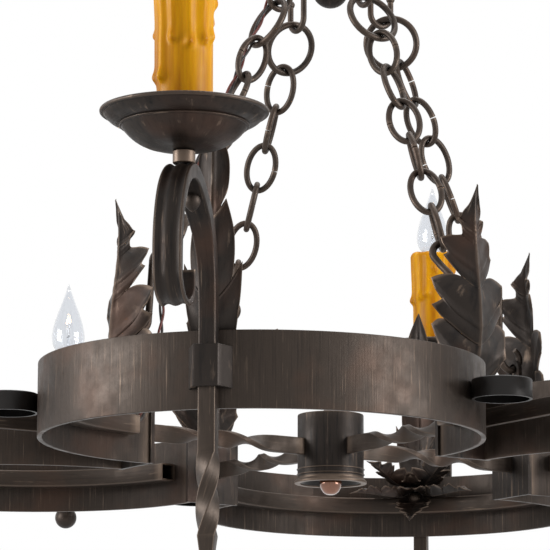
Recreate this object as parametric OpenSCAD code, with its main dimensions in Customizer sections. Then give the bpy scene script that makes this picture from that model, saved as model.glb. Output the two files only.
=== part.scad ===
// Wagon wheel chandelier of forged iron: four ring bands round a hub, on four chains
// from one crown, with four raised and four low candles. Origin: centre of the canopy's
// rim at the ceiling, +Z up. Inside the fixture, heights count from the bands' bottom edge.

/* [Rings] */
// Outside diameter of each ring band
ring_d = 457.2; // [430:0.2:480]
// Height of the ring bands
band_h = 76.2; // [66:0.1:90]
// Thickness of the ring bands
band_t = 4.8; // [3:0.1:7]
// Gap between the walls of two neighbouring rings where they would meet
ring_gap = 54.04; // [48:0.02:64]
// Outside width of the square tubes inside the bands
tube_w = 20; // [16:0.5:26]
// Wall of the square tubes
tube_wall = 1.6; // [1:0.1:3]
// Underside of the square tubes above the bands' bottom edge
tube_z = 28; // [12:1:40]

/* [Spokes and joints of the rings] */
// Height of the flat bar of the spokes
spoke_h = 19; // [14:0.5:26]
// Thickness of the flat bar of the spokes
spoke_t = 6.4; // [4:0.2:10]
// Half turns in the twisted stretch of a spoke
spoke_turns = 2; // [0:1:4]
// Distance from a junction of the rings out to its low candle
low_reach = 349.4; // [310:0.2:390]
// Thickness of the junction plates
plate_t = 4.8; // [3:0.1:8]
// Thickness of the upright hanger plates
hanger_t = 4.8; // [3:0.1:7]
// Width of the hanger plates
hanger_w = 24; // [20:0.5:30]
// Height of the hanger plates' holes
eye_z = 149; // [125:1:165]

/* [Scroll arms] */
// Width of the square bar of the scroll arms
bar_w = 17; // [12:0.5:20]
// Width of the fluted strap at the end of the scroll
strap_w = 28; // [20:0.5:36]
// Thickness of the fluted strap
strap_t = 8; // [5:0.5:11]
// Distance from a scroll arm's bar to its candle
reach = 104; // [92:1:125]
// Height of the scroll arm's top
arm_top = 215; // [205:1:235]
// Length of the bar that hangs below the band
tail = 165; // [125:1:200]

/* [Candles] */
// Outside radius of the drip dishes
dish_r = 79; // [64:1:92]
// Depth of the drip dishes
dish_h = 37.6; // [28:0.2:46]
// Thickness of the dishes
dish_t = 1.8; // [1.2:0.1:3]
// Height of the nipples under the dishes
nipple_h = 12.4; // [8:0.2:20]
// Outside radius of the nipples
nipple_r = 10.7; // [8:0.1:13]
// Length of the candle sleeves
sleeve_h = 160; // [120:1:180]
// Outside radius of the candle sleeves
sleeve_r = 25.5; // [23:0.1:30]
// Bore radius of the candle sleeves
sleeve_bore = 19; // [18.5:0.1:20]
// Widest radius of the flame bulbs
flame_r = 17.5; // [13:0.1:18]
// Height of a flame bulb above its sleeve
flame_h = 92; // [70:1:110]

/* [Hub and small lights] */
// Outside radius of the hub
hub_r = 37.2; // [34:0.1:45]
// Wall of the hub
hub_wall = 2; // [1.2:0.1:3]
// Flange width outside the hub
flange_w = 3.4; // [2:0.1:8]
// Outside radius of the side cups
cup_r = 30.3; // [24:0.1:34]
// Height of the side cups
cup_h = 20; // [14:0.5:28]

/* [Chains, crown and canopy] */
// Wire radius of the chain links
link_wire = 3.5; // [2.5:0.1:4]
// Outside length of a chain link
link_l = 62; // [54:1:70]
// Outside width of a chain link
link_w = 37; // [33:1:42]
// Links in each of the four chains
chain_links = 6; // [5:1:7]
// Wire radius of the big rings at the crown
ring_wire = 3.75; // [3:0.05:4.5]
// Outside diameter of the big rings
big_ring_d = 66; // [58:1:74]
// Wire radius of the S hooks
s_wire = 4; // [3:0.1:4.5]
// Distance from the hub axis to the bottom of the crown hooks
hook_r = 70; // [62:1:80]
// Height of the bottom of the crown hooks
hook_z = 537; // [515:1:560]
// Outside radius of the canopy
canopy_r = 65; // [58:1:80]
// Depth of the canopy
canopy_h = 28; // [22:1:40]
// Spacing of the screw holes in the mounting strap
screw_spacing = 88.9; // [70:0.1:100]
// Radius of the screw holes in the mounting strap
screw_r = 2.6; // [2:0.1:3]

/* [Clearances] */
// Gap between fixed pieces that touch on a curve
seat = 0.1; // [0.05:0.05:0.3]
// Gap between chain links that move
play = 0.3; // [0.2:0.05:0.6]

/* [Hidden] */
bronze = [0.20, 0.15, 0.12];
dark = [0.13, 0.11, 0.10];
wax = [0.96, 0.66, 0.10];
white = [0.93, 0.93, 0.90];
brass = [0.75, 0.62, 0.35];
clear = [0.90, 0.92, 0.95];
// Directions of the rings and of the junctions between them
FRONT = 270;
RIGHT = 0;
BACK = 90;
LEFT = 180;
RINGS = [FRONT, RIGHT, BACK, LEFT];
JUNCTIONS = [315, 45, 135, 225];
ring_r = ring_d / 2;
band_cut = 45;      // the band is cut away this far to each side of the hub's direction
tube_cut = 52;
tube_out = ring_r - band_t - seat;
// Along a junction's direction, the band ends stand at junction_u, half_gap to each side;
// the ring's centre lies as far out as it lies to the side
half_gap = ring_gap / 2;
junction_u = ring_r + half_gap;
ring_offset = junction_u / cos(45);
low_r = junction_u + low_reach;
plate_w = 2 * (half_gap + band_t + 3);
spoke_z = tube_z + (tube_w - spoke_h) / 2;
twist_from = hub_r + 20;
twist_to = junction_u - 22;
// Scroll arm: centre line of its bar, and the arcs of the crook above it
bar_c = ring_offset + ring_r + seat + bar_w / 2;
candle_r = bar_c + reach;
crook_top_t = 12;
crook_z = arm_top - crook_top_t / 2;
crook_in = 48;      // radius of the bend over the band
crook_out = 49;     // radius of the bend down to the scroll
scroll_r = 25;      // radius of the scroll's curl
scroll_z = 98;      // height of the curl's centre
crook_from = 90;    // height where the square bar starts to widen
twist_top = -43;
twist_h = 80;
clip_z = 19;
clip_h = 41;
clip_t = 4;
bud_h = 27;
bud_r = 8;
// Candles: heights of the dishes' undersides
low_top = spoke_z + spoke_h + 1.8;
high_dish = arm_top + seat + nipple_h;
low_dish = low_top + nipple_h;
sleeve_z = 4.2;     // sleeve's foot above the dish's underside
stem_r = 5;
socket_r = 12.5;
socket_top = sleeve_z + sleeve_h - 1;
socket_depth = 20;
base_r = 7;
finial_r = 13.6;
// Small lights
hub_top = band_h;
cup_z = tube_z;
cup_angle = 79.5;
cup_wall = 2;
// Chains
link_mid = link_l / 2 - link_wire;
link_bow = link_w / 2 - link_wire;
big_mid = big_ring_d / 2 - ring_wire;
s_bow = 13;
eye_hole = 7.4;
eye_u = junction_u + seat + hanger_t / 2;
eye_wire_z = eye_z + 1.2;
hook_bow = 14;
chain_tilt = -atan((eye_u - hook_r) / (hook_z + hook_bow - eye_wire_z));
chain_l = norm([eye_u - hook_r, hook_z + hook_bow - eye_wire_z]) - hook_bow;
first_link = 2 * big_mid - 2 * link_wire - ring_wire * 2 + link_mid - 2 * seat;
s_from = first_link + (chain_links - 1) * (2 * link_mid - 2 * link_wire - seat) + link_mid
         - link_wire - s_wire - seat;
// Crown, loops and canopy; the heights below are counted from the ceiling
crown_boss = 16;
crown_ball = 21;
crown_foot = 590;
crown_top = 650;
loop_mid = 15;
loop_z = -(canopy_h + 10 + loop_mid);
step = 2 * link_wire + play;
link1_z = loop_z - loop_mid + step - link_mid;
link2_z = link1_z - 2 * link_mid + step;
link3_z = link2_z - 2 * link_mid + step;
crown_loop_z = link3_z - link_mid + step - loop_mid;
drop = crown_top + loop_mid + 6 - crown_loop_z;
plate_thick = 2.5;
// Leaves: half width of a leaf along its height, in shares of its length
LEAF = [[0, 0.05], [0.12, 0.09], [0.27, 0.185], [0.31, 0.10], [0.38, 0.11], [0.52, 0.165],
        [0.57, 0.085], [0.64, 0.08], [0.75, 0.10], [0.79, 0.055], [0.90, 0.038], [1, 0.004]];
leaf_h = 222;
leaf_z = 70;
leaf_t = 2;
arm_leaf_tip = leaf_z + leaf_h;
// Supply wires: a hand-laid route down the front left chain, as [outwards, sideways, height]
WIRE_END = [[222, -9.5, 205], [218, -8, 180], [221, -4, 155], [235, 8, 122], [249, 30, 94],
            [262, 40, 75], [268, 42, 58], [276, 43, 44], [290, 44, 38]];
wire_r = 1.5;
wire_off = 7;

$fn = 48;

// ---------- helpers ----------

module fixture() {
    translate([0, 0, -drop]) children();
}

module turned(a) {
    rotate([0, 0, a]) children();
}

// Closed solid through rings of equally many points, capped at both ends. Each ring runs
// counterclockwise as seen from the far end.
module loft(rings) {
    n = len(rings[0]);
    m = len(rings);
    pts = [for (r = rings) each r];
    sides = [for (i = [0:m - 2], j = [0:n - 1]) let (a = i * n + j, b = i * n + (j + 1) % n)
             each [[a, b + n, b], [a, a + n, b + n]]];
    caps = [[for (j = [0:n - 1]) j], [for (j = [n - 1:-1:0]) (m - 1) * n + j]];
    polyhedron(points = pts, faces = concat(sides, caps), convexity = 6);
}

// Flat or square bar twisted about Z, w along X and t along Y
module twisted_bar(w, t, h, angle, slices) {
    loft([for (k = [0:slices]) let (a = angle * k / slices)
          [for (c = [[-1, -1], [1, -1], [1, 1], [-1, 1]])
           [c[0] * w / 2 * cos(a) - c[1] * t / 2 * sin(a),
            c[0] * w / 2 * sin(a) + c[1] * t / 2 * cos(a), h * k / slices]]]);
}

// Part of a round wire bent to an arc, in the XY plane, from angle 0
module arc_wire(mid, wire, angle) {
    rotate_extrude(angle = angle) translate([mid, 0]) circle(r = wire);
}

// A chain link in the XZ plane, centred, its long axis along Z
module link(l_mid, bow, wire) {
    for (s = [0, 180]) rotate([0, s, 0]) {
        translate([0, 0, l_mid - bow]) rotate([90, 0, 0]) arc_wire(bow, wire, 180);
        translate([bow, 0, -(l_mid - bow)]) cylinder(r = wire, h = 2 * (l_mid - bow));
    }
}

// A closed round loop in the XZ plane
module loop(mid, wire) {
    rotate([90, 0, 0]) rotate_extrude() translate([mid, 0]) circle(r = wire);
}

// Place on the chain's line, s below the crown hook's wire; the line runs through the
// centre of the hook's bow
module on_chain(a, s) {
    fixture() turned(a) translate([hook_r, 0, hook_z + hook_bow]) rotate([0, chain_tilt, 0])
        translate([0, 0, -hook_bow - s]) children();
}

// ---------- ceiling ----------

module canopy() {
    color(bronze) rotate_extrude() polygon([
        [stem_r + 0.2, -canopy_h], [16, -canopy_h], [18, -canopy_h + 2],
        [canopy_r * 0.62, -canopy_h * 0.72], [canopy_r * 0.86, -canopy_h * 0.42],
        [canopy_r - 3, -5], [canopy_r, -3], [canopy_r, 0], [canopy_r - 1.6, 0],
        [canopy_r - 1.6, -2.4], [canopy_r - 4.4, -4.4], [canopy_r * 0.84, -canopy_h * 0.38],
        [canopy_r * 0.61, -canopy_h * 0.66], [17, -canopy_h + 3.4],
        [15, -canopy_h + 1.6], [stem_r + 0.2, -canopy_h + 1.6]]);
}

// Plate that spans the ceiling box; the stem hangs from its nut
module mounting_strap() {
    color(brass) difference() {
        translate([-(screw_spacing / 2 + 11), -10, -plate_thick])
            cube([screw_spacing + 22, 20, plate_thick]);
        for (x = [-1, 1]) translate([x * screw_spacing / 2, 0, -plate_thick - 1])
            cylinder(r = screw_r, h = plate_thick + 2);
        translate([0, 0, -plate_thick - 1]) cylinder(r = stem_r + 0.2, h = plate_thick + 2);
    }
}

module strap_nut() {
    color(brass) translate([0, 0, -plate_thick - seat - 5]) difference() {
        cylinder(r = 9, h = 5, $fn = 6);
        translate([0, 0, -1]) cylinder(r = stem_r + seat, h = 7);
    }
}

module canopy_collar() {
    color(bronze) translate([0, 0, -canopy_h - seat - 6]) difference() {
        cylinder(r = 11, h = 6);
        translate([0, 0, -1]) cylinder(r = stem_r + seat, h = 8);
    }
}

module canopy_loop() {
    color(bronze) {
        translate([0, 0, loop_z]) loop(loop_mid, link_wire);
        translate([0, 0, loop_z + loop_mid]) cylinder(r = stem_r, h = -loop_z - loop_mid - 0.3);
    }
}

module main_link_1() {
    color(bronze) translate([0, 0, link1_z]) turned(90) link(link_mid, link_bow, link_wire);
}

module main_link_2() {
    color(bronze) translate([0, 0, link2_z]) link(link_mid, link_bow, link_wire);
}

module main_link_3() {
    color(bronze) translate([0, 0, link3_z]) turned(90) link(link_mid, link_bow, link_wire);
}

// ---------- crown ----------

module crown_loop() {
    color(bronze) {
        translate([0, 0, crown_loop_z]) loop(loop_mid, link_wire);
        fixture() translate([0, 0, crown_top]) cylinder(r = stem_r, h = 7);
    }
}

module crown_post() {
    color(bronze) fixture() rotate_extrude() polygon([
        [0, crown_foot], [9, crown_foot], [9, 596], [crown_boss, 601], [crown_boss, 629],
        [10, 636], [8, 641], [12, 644], [12, crown_top - 3], [9, crown_top], [0, crown_top]]);
}

module crown_hook() {
    leg = hook_r - hook_bow;
    low = hook_z + hook_bow;
    bend_z = 615;
    translate([hook_r, 0, low]) rotate([90, 0, 0]) rotate([0, 0, 180])
        arc_wire(hook_bow, link_wire, 180);
    translate([leg, 0, low]) cylinder(r = link_wire, h = bend_z - 14 - low);
    translate([leg - 14, 0, bend_z - 14]) rotate([90, 0, 0]) arc_wire(14, link_wire, 90);
    translate([crown_boss + seat, 0, bend_z]) rotate([0, 90, 0])
        cylinder(r = link_wire, h = leg - 14 - crown_boss - seat);
    translate([hook_r + hook_bow, 0, low]) cylinder(r = link_wire, h = 20);
    translate([hook_r + hook_bow, 0, low + 20]) sphere(r = link_wire + 1.5);
}

module crown_hooks() {
    color(bronze) fixture() for (a = JUNCTIONS) turned(a) crown_hook();
}

module crown_ball() {
    color(bronze) fixture() translate([0, 0, crown_foot - seat - crown_ball + 1]) difference() {
        sphere(r = crown_ball);
        translate([0, 0, crown_ball - 1]) cylinder(r = crown_ball, h = 10);
    }
}

// ---------- chains ----------

module chain(a) {
    color(bronze) {
        on_chain(a, big_mid - link_wire - ring_wire - seat) turned(90) loop(big_mid, ring_wire);
        for (k = [0:chain_links - 1])
            on_chain(a, first_link + k * (2 * link_mid - 2 * link_wire - seat))
                turned(k % 2 == 0 ? 0 : 90) link(link_mid, link_bow, link_wire);
    }
}

module chain_front_right() chain(JUNCTIONS[0]);
module chain_back_right() chain(JUNCTIONS[1]);
module chain_back_left() chain(JUNCTIONS[2]);
module chain_front_left() chain(JUNCTIONS[3]);

// S hook in the XY plane: two bows joined by a shank that touches both, top bow's wire at
// y = 0. The shank is left a little thicker than the bent ends.
module s_hook(l) {
    between = l - 2 * s_bow;
    lean = asin(2 * s_bow / between);
    for (s = [0, 180]) translate([0, -l / 2, 0]) rotate([0, 0, s]) translate([0, between / 2, 0]) {
        rotate([0, 0, -lean]) arc_wire(s_bow, s_wire, 215 + lean);
    }
    translate([0, -l / 2, 0]) rotate([0, 0, -lean]) rotate([90, 0, 0])
        cylinder(r = s_wire + 0.3, h = between * cos(lean) + 1, center = true);
}

module s_hooks() {
    color(dark) for (a = JUNCTIONS) on_chain(a, s_from) rotate([90, 0, 0]) s_hook(chain_l - s_from);
}

module hanger_plates() {
    foot = spoke_z + spoke_h + 3;
    color(bronze) fixture() for (a = JUNCTIONS) turned(a) translate([junction_u + seat, 0, 0])
        difference() {
            union() {
                translate([0, -hanger_w / 2, foot]) cube([hanger_t, hanger_w, eye_z - foot]);
                translate([0, 0, eye_z]) rotate([0, 90, 0]) cylinder(d = hanger_w, h = hanger_t);
            }
            translate([-1, 0, eye_z]) rotate([0, 90, 0]) cylinder(r = eye_hole, h = hanger_t + 2);
        }
}

// ---------- supply wires ----------

function chain_at(s) = [hook_r - (s + hook_bow) * sin(chain_tilt) + wire_off * cos(chain_tilt),
    -wire_off, hook_z + hook_bow - (s + hook_bow) * cos(chain_tilt) - wire_off * sin(chain_tilt)];
WIRE = concat([[crown_boss + 1.8, -8, 612], [30, -10, 612], [50, -11, 600], [68, -11, 572]],
              [for (s = [0, 55, 110, 165, 220, 280, 340]) chain_at(s)], WIRE_END);
function spline(p, i, t) =
    let (a = p[max(i - 1, 0)], b = p[i], c = p[i + 1], d = p[min(i + 2, len(p) - 1)])
    0.5 * ((2 * b) + (c - a) * t + (2 * a - 5 * b + 4 * c - d) * t * t
           + (3 * b - a - 3 * c + d) * t * t * t);
WIRE_FINE = [for (i = [0:len(WIRE) - 2], k = [0:1]) spline(WIRE, i, k / 2)];
function unit(v) = v / norm(v);
function heading(p, i) = unit(p[min(i + 1, len(p) - 1)] - p[max(i - 1, 0)]);

// One wire of the twisted pair; it winds round the route at the radius of a wire
module wire(phase) {
    n = len(WIRE_FINE);
    wind = [for (i = [0:n - 1]) let (h = heading(WIRE_FINE, i), e = unit(cross(h, [0, 1, 0])),
            f = cross(h, e), a = phase + i * 62)
            WIRE_FINE[i] + (wire_r + 0.35) * (cos(a) * e + sin(a) * f)];
    loft([for (i = [0:n - 1]) let (h = heading(wind, i), e = unit(cross(h, [0, 1, 0])),
          f = cross(h, e))
          [for (j = [0:7]) wind[i] + wire_r * (cos(45 * j) * e + sin(45 * j) * f)]]);
}

module supply_wires() {
    color(dark) fixture() turned(JUNCTIONS[3]) wire(0);
    color([0.45, 0.12, 0.08]) fixture() turned(JUNCTIONS[3]) wire(180);
}

// ---------- rings ----------

module band(a) {
    color(bronze) fixture() turned(a) translate([ring_offset, 0, 0]) turned(180 + band_cut)
        rotate_extrude(angle = 360 - 2 * band_cut, $fn = 120)
            translate([ring_r - band_t, 0]) square([band_t, band_h]);
}

module band_front() band(FRONT);
module band_right() band(RIGHT);
module band_back() band(BACK);
module band_left() band(LEFT);

module tube(a) {
    color(bronze) fixture() turned(a) translate([ring_offset, 0, tube_z]) turned(180 + tube_cut)
        rotate_extrude(angle = 360 - 2 * tube_cut, $fn = 120)
            translate([tube_out - tube_w, 0]) difference() {
                square(tube_w);
                translate([tube_wall, tube_wall]) square(tube_w - 2 * tube_wall);
            }
}

module tube_front() tube(FRONT);
module tube_right() tube(RIGHT);
module tube_back() tube(BACK);
module tube_left() tube(LEFT);

module junction_plates() {
    color(bronze) fixture() for (a = JUNCTIONS) turned(a) difference() {
        translate([junction_u - plate_t, -plate_w / 2, 0]) cube([plate_t, plate_w, band_h]);
        translate([junction_u - plate_t - 1, -spoke_t / 2 - seat, spoke_z - seat])
            cube([plate_t + 2, spoke_t + 2 * seat, spoke_h + 2 * seat]);
    }
}

// ---------- spokes with the low candles' arms ----------

module spoke(a) {
    color(bronze) fixture() turned(a) translate([0, 0, spoke_z + spoke_h / 2])
        rotate([0, 90, 0]) {
            translate([-spoke_h / 2, -spoke_t / 2, hub_r + seat])
                cube([spoke_h, spoke_t, twist_from - hub_r - seat]);
            translate([0, 0, twist_from])
                twisted_bar(spoke_h, spoke_t, twist_to - twist_from, 180 * spoke_turns,
                            14 * max(1, spoke_turns));
            translate([-spoke_h / 2, -spoke_t / 2, twist_to])
                cube([spoke_h, spoke_t, low_r - twist_to]);
        }
    color(bronze) fixture() turned(a) translate([low_r, 0, spoke_z])
        cylinder(r = 10, h = low_top - spoke_z);
}

module spoke_front_right() spoke(JUNCTIONS[0]);
module spoke_back_right() spoke(JUNCTIONS[1]);
module spoke_back_left() spoke(JUNCTIONS[2]);
module spoke_front_left() spoke(JUNCTIONS[3]);

module ball_finials() {
    color(bronze) fixture() for (a = JUNCTIONS)
        turned(a) translate([low_r, 0, spoke_z - seat - finial_r + 1]) difference() {
            sphere(r = finial_r);
            translate([0, 0, finial_r - 1]) cylinder(r = finial_r, h = 10);
        }
}

// ---------- scroll arms ----------

crook_end = 195;    // how far the scroll's curl turns
CROOK = concat(
    [for (k = [0:1]) [bar_c, crook_from + k * (crook_z - crook_in - crook_from) / 2, 90]],
    [for (k = [0:7]) let (a = 180 - 90 * k / 7)
        [bar_c + crook_in * (1 + cos(a)), crook_z - crook_in * (1 - sin(a)), a - 90]],
    [for (k = [0:7]) let (a = 90 - 90 * k / 7)
        [candle_r + crook_out * cos(a), crook_z - crook_out * (1 - sin(a)), a - 90]],
    [for (k = [0:9]) let (a = -crook_end * k / 9)
        [candle_r + crook_out - scroll_r * (1 - cos(a)), scroll_z + scroll_r * sin(a), a - 90]]);
// Along the crook, [share of its points, width, thickness, flute depth]
FORGE = [[0, bar_w, bar_w, 0], [0.25, bar_w + 3, 15, 0], [0.36, strap_w - 4, crook_top_t, 0],
         [0.5, strap_w, crook_top_t - 1, 0.8], [0.62, strap_w, strap_t, 1.6],
         [0.9, strap_w, strap_t, 1.6], [1, strap_w - 2, strap_t - 3, 1]];
function forge(x, c) = lookup(x, [for (f = FORGE) [f[0], f[c]]]);
// Cross-section [across, outwards] of the bar, with two flutes on its outer face
function section(w, t, d) = [[-w / 2, -t / 2], [w / 2, -t / 2], [w / 2, t / 2 - d * 0.7],
    [w * 0.4, t / 2], [w * 0.22, t / 2 - d], [w * 0.09, t / 2], [-w * 0.09, t / 2],
    [-w * 0.22, t / 2 - d], [-w * 0.4, t / 2], [-w / 2, t / 2 - d * 0.7]];

module arm(a) {
    n = len(CROOK) - 1;
    low = twist_top - twist_h;
    color(bronze) fixture() turned(a) {
        translate([bar_c - bar_w / 2, -bar_w / 2, twist_top])
            cube([bar_w, bar_w, crook_from - twist_top]);
        translate([bar_c, 0, low]) twisted_bar(bar_w, bar_w, twist_h, 180, 14);
        // Tapered tail, drawn out to a small button
        loft([for (k = [0:1]) let (w = (k == 1 ? bar_w : bar_w * 0.45) / 2, z = k == 1 ? low : -tail)
              [for (c = [[-1, -1], [1, -1], [1, 1], [-1, 1]]) [bar_c + c[0] * w, c[1] * w, z]]]);
        translate([bar_c, 0, -tail]) sphere(r = 6.5);
        loft([for (i = [0:n]) let (p = CROOK[i], x = i / n, h = p[2] + 90)
              [for (q = section(forge(x, 1), forge(x, 2), forge(x, 3)))
               [p[0] + q[1] * cos(h), q[0], p[1] + q[1] * sin(h)]]]);
    }
}

module arm_front() arm(FRONT);
module arm_right() arm(RIGHT);
module arm_back() arm(BACK);
module arm_left() arm(LEFT);

// Hat-shaped clip: its face runs over the bar and its splayed sides come back to the band
module clip() {
    face = bar_w / 2 + 4;
    foot = face + 9;
    front = bar_c + bar_w / 2 + seat;
    back = bar_c - bar_w / 2 - (ring_r - sqrt(ring_r * ring_r - foot * foot)) - 1;
    linear_extrude(height = clip_h) polygon([
        [front, -face + 3.5], [front, face - 3.5], [back, foot - clip_t], [back, foot],
        [front + clip_t, face], [front + clip_t, -face], [back, -foot], [back, -foot + clip_t]]);
}

module arm_clips() {
    color(bronze) fixture() for (a = RINGS) turned(a) translate([0, 0, clip_z]) difference() {
        clip();
        translate([ring_offset, 0, -1]) cylinder(r = ring_r + seat, h = clip_h + 2, $fn = 120);
    }
}

module arm_buds() {
    z = arm_top - crook_top_t - bud_h - play;
    color(bronze) fixture() for (a = RINGS) turned(a) translate([candle_r - 34, 0, z])
        rotate_extrude() polygon(concat([[0, 0]],
            [for (k = [1:12]) let (t = k / 13) [bud_r * sin(180 * pow(t, 0.8)), bud_h * t]],
            [[2.4, bud_h], [0, bud_h]]));
}

// ---------- leaves ----------

// Forged acanthus leaf of length l, rising along Z from the origin. Its midrib bows outwards
// along X, its sides fall back above a flat foot, and its lobes point upwards.
module leaf(l, wide, bow, trough, rows, cols, thick) {
    function half(u) = l * wide * lookup(u, LEAF);
    function rib(u) = bow * l * (0.35 * sin(180 * u) - 0.16 * sin(360 * u) + 0.55 * pow(u, 4));
    function at(u, v, side) = let (w = half(u), fall = pow(min(1, u / 0.3), 2))
        [rib(u) - trough * fall * w * v * v + side, w * v * (1 - 0.10 * abs(v)),
         l * u + 0.42 * w * v * v * (1 - u)];
    loft([for (i = [0:rows]) let (u = i / rows) concat(
        [for (j = [0:cols]) at(u, -1 + 2 * j / cols, thick / 2)],
        [for (j = [cols:-1:0]) at(u, -1 + 2 * j / cols, -thick / 2)])]);
}

module junction_leaves() {
    color(bronze) fixture() for (a = JUNCTIONS) turned(a)
        translate([junction_u + seat + hanger_t + play + leaf_t / 2, 0, leaf_z])
            leaf(leaf_h, 1, 0.16, 0.55, 22, 4, leaf_t);
}

module arm_leaves() {
    foot = tube_z + tube_w + seat;
    color(bronze) fixture() for (a = RINGS) turned(a)
        translate([ring_offset + tube_out - tube_w * 0.75, 0, foot])
            leaf(arm_leaf_tip - foot, 0.82, 0.10, 0.55, 22, 4, leaf_t);
}

// Low spray of three leaves inside the ring at the foot of each scroll arm
module rosettes() {
    inner_r = tube_out - tube_w;
    boss_r = 9;
    depth = boss_r + play;
    sag = pow(boss_r, 2) / 2 / inner_r;
    color(bronze) fixture() for (a = RINGS) turned(a)
        translate([ring_offset + inner_r - seat - depth, 0, 46]) {
        for (s = [-1, 1]) rotate([0, 0, 180 + s * 62]) rotate([0, 98, 0])
            leaf(84, 1.7, 0.2, 0.3, 8, 4, 1.8);
        rotate([0, 0, 180]) rotate([0, 122, 0]) leaf(52, 1.6, 0.2, 0.3, 8, 4, 1.8);
        rotate([0, 90, 0]) cylinder(r = boss_r, h = depth - sag, $fn = 24);
        sphere(r = boss_r, $fn = 24);
    }
}

// ---------- candles ----------

module high_places() {
    for (a = RINGS) turned(a) translate([candle_r, 0, high_dish]) children();
}

module low_places() {
    for (a = JUNCTIONS) turned(a) translate([low_r, 0, low_dish]) children();
}

module all_places() {
    high_places() children();
    low_places() children();
}

// Drip dish: shallow cone, a step, then the bowl with a rolled edge; underside at z = 0
module dish() {
    function bowl(k) = [[0.45, 0.09], [0.52, 0.13], [0.525, 0.22], [0.57, 0.28], [0.72, 0.42],
                        [0.86, 0.66], [0.95, 0.86], [0.985, 1]][k];
    rotate_extrude() union() {
        polygon(concat([[stem_r + 0.2, 0]],
            [for (k = [0:7]) [dish_r * bowl(k)[0], dish_h * bowl(k)[1]]],
            [for (k = [7:-1:0]) [dish_r * bowl(k)[0] - dish_t * (k > 1 ? 0.8 : 0),
                                 dish_h * bowl(k)[1] + dish_t * (k > 4 ? 0.5 : 1)]],
            [[stem_r + 0.2, dish_t]]));
        translate([dish_r - 1.4, dish_h]) circle(r = 2.2, $fn = 24);
    }
}

module high_dishes() {
    color(bronze) fixture() high_places() dish();
}

module low_dishes() {
    color(bronze) fixture() low_places() dish();
}

// Candle sleeve of cast wax with runs of different lengths down its side
module sleeve() {
    runs = 7;
    difference() {
        union() {
            rotate_extrude() polygon([[sleeve_bore - 4, 0], [sleeve_r, 0], [sleeve_r - 0.6, 30],
                [sleeve_r, 80], [sleeve_r + 0.8, sleeve_h - 30], [sleeve_r + 2.4, sleeve_h - 14],
                [sleeve_r + 2, sleeve_h - 4], [sleeve_r - 1.5, sleeve_h], [sleeve_bore - 4, sleeve_h]]);
            for (k = [0:runs - 1]) let (long = 34 + 26 * (1 + sin(k * 137)), r = 4.6 + sin(k * 95))
                turned(k * 360 / runs + 14 * sin(k * 77))
                    translate([sleeve_r - 1.3, 0, sleeve_h - 9 - long]) rotate_extrude($fn = 16)
                        polygon([[0, -6], [r * 0.8, -4.6], [r * 1.2, -0.5], [r, 6],
                                 [r * 0.9, long], [0, long + 7]]);
        }
        translate([0, 0, -1]) cylinder(r = sleeve_bore, h = sleeve_h + 2);
    }
}

module high_sleeves() {
    color(wax) fixture() high_places() translate([0, 0, sleeve_z + seat]) sleeve();
}

module low_sleeves() {
    color(wax) fixture() low_places() translate([0, 0, sleeve_z + seat]) sleeve();
}

// Nipple: collar under the dish and the threaded tube that passes through it
module candle_nipples() {
    color(bronze) fixture() all_places() difference() {
        union() {
            translate([0, 0, -nipple_h]) cylinder(r = nipple_r, h = nipple_h - seat);
            translate([0, 0, -nipple_h]) cylinder(r = stem_r, h = nipple_h + 16);
        }
        translate([0, 0, -nipple_h - 1]) cylinder(r = 3.2, h = nipple_h + 18);
    }
}

// Lamp socket on its upright stem, inside the sleeve
module candle_sockets() {
    color(white) fixture() all_places() difference() {
        union() {
            translate([0, 0, 16 + seat]) cylinder(r = 7, h = socket_top - 44 - 16);
            translate([0, 0, socket_top - 44]) cylinder(r = socket_r, h = 44);
        }
        translate([0, 0, socket_top - socket_depth]) cylinder(r = base_r + 0.2, h = socket_depth + 1);
    }
}

module flame_bulb() {
    rotate_extrude() polygon(concat(
        [[0, 0.3 - socket_depth], [base_r - 1, 0.3 - socket_depth], [base_r, 2 - socket_depth],
         [base_r, 1]],
        [for (k = [1:16]) let (t = k / 16) [flame_r * (0.42 * (1 - t) + sin(180 * pow(t, 0.62))
            * (1 - 0.42 * t)) + 0.4 * (1 - t), 1 + flame_h * t]]));
}

module flame_bulbs() {
    color(clear) fixture() all_places() translate([0, 0, socket_top]) flame_bulb();
}

// ---------- hub and small lights ----------

module hub_housing() {
    color(bronze) fixture() rotate_extrude() polygon([
        [hub_r - hub_wall, 3 + seat], [hub_r, 3 + seat], [hub_r, 7], [hub_r + 1, 8], [hub_r, 9],
        [hub_r, 13], [hub_r + 1, 14], [hub_r, 15], [hub_r, hub_top - 2], [hub_r - 1, hub_top],
        [4.2, hub_top], [4.2, hub_top - hub_wall], [hub_r - hub_wall, hub_top - hub_wall]]);
}

module hub_cap() {
    color(bronze) fixture() translate([0, 0, hub_top + seat]) {
        cylinder(r = 9, h = 4);
        translate([0, 0, 4]) cylinder(r1 = 9, r2 = 5, h = 2.5);
        translate([0, 0, -10]) cylinder(r = 4, h = 10.5);
    }
}

module hub_flange() {
    color(bronze) fixture() rotate_extrude() polygon([
        [hub_r - hub_wall - 1, -1.8], [hub_r + flange_w, -1.8], [hub_r + flange_w, 0.6],
        [hub_r + 0.6, 3], [hub_r - hub_wall - 1, 3]]);
}

module hub_reflector() {
    out = hub_r - hub_wall - 1.2;
    color(white) fixture() rotate_extrude() polygon([
        [out - 1.6, -0.6], [out, -0.6], [out, 4], [16, 32], [16, 38], [14.6, 38], [14.6, 31.4]]);
}

module hub_socket() {
    foot = 31;
    color(white) fixture() translate([0, 0, foot]) difference() {
        cylinder(r = 14.4, h = hub_top - 10 - foot);
        translate([0, 0, -1]) cylinder(r = 10.2, h = 25);
    }
}

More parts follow.
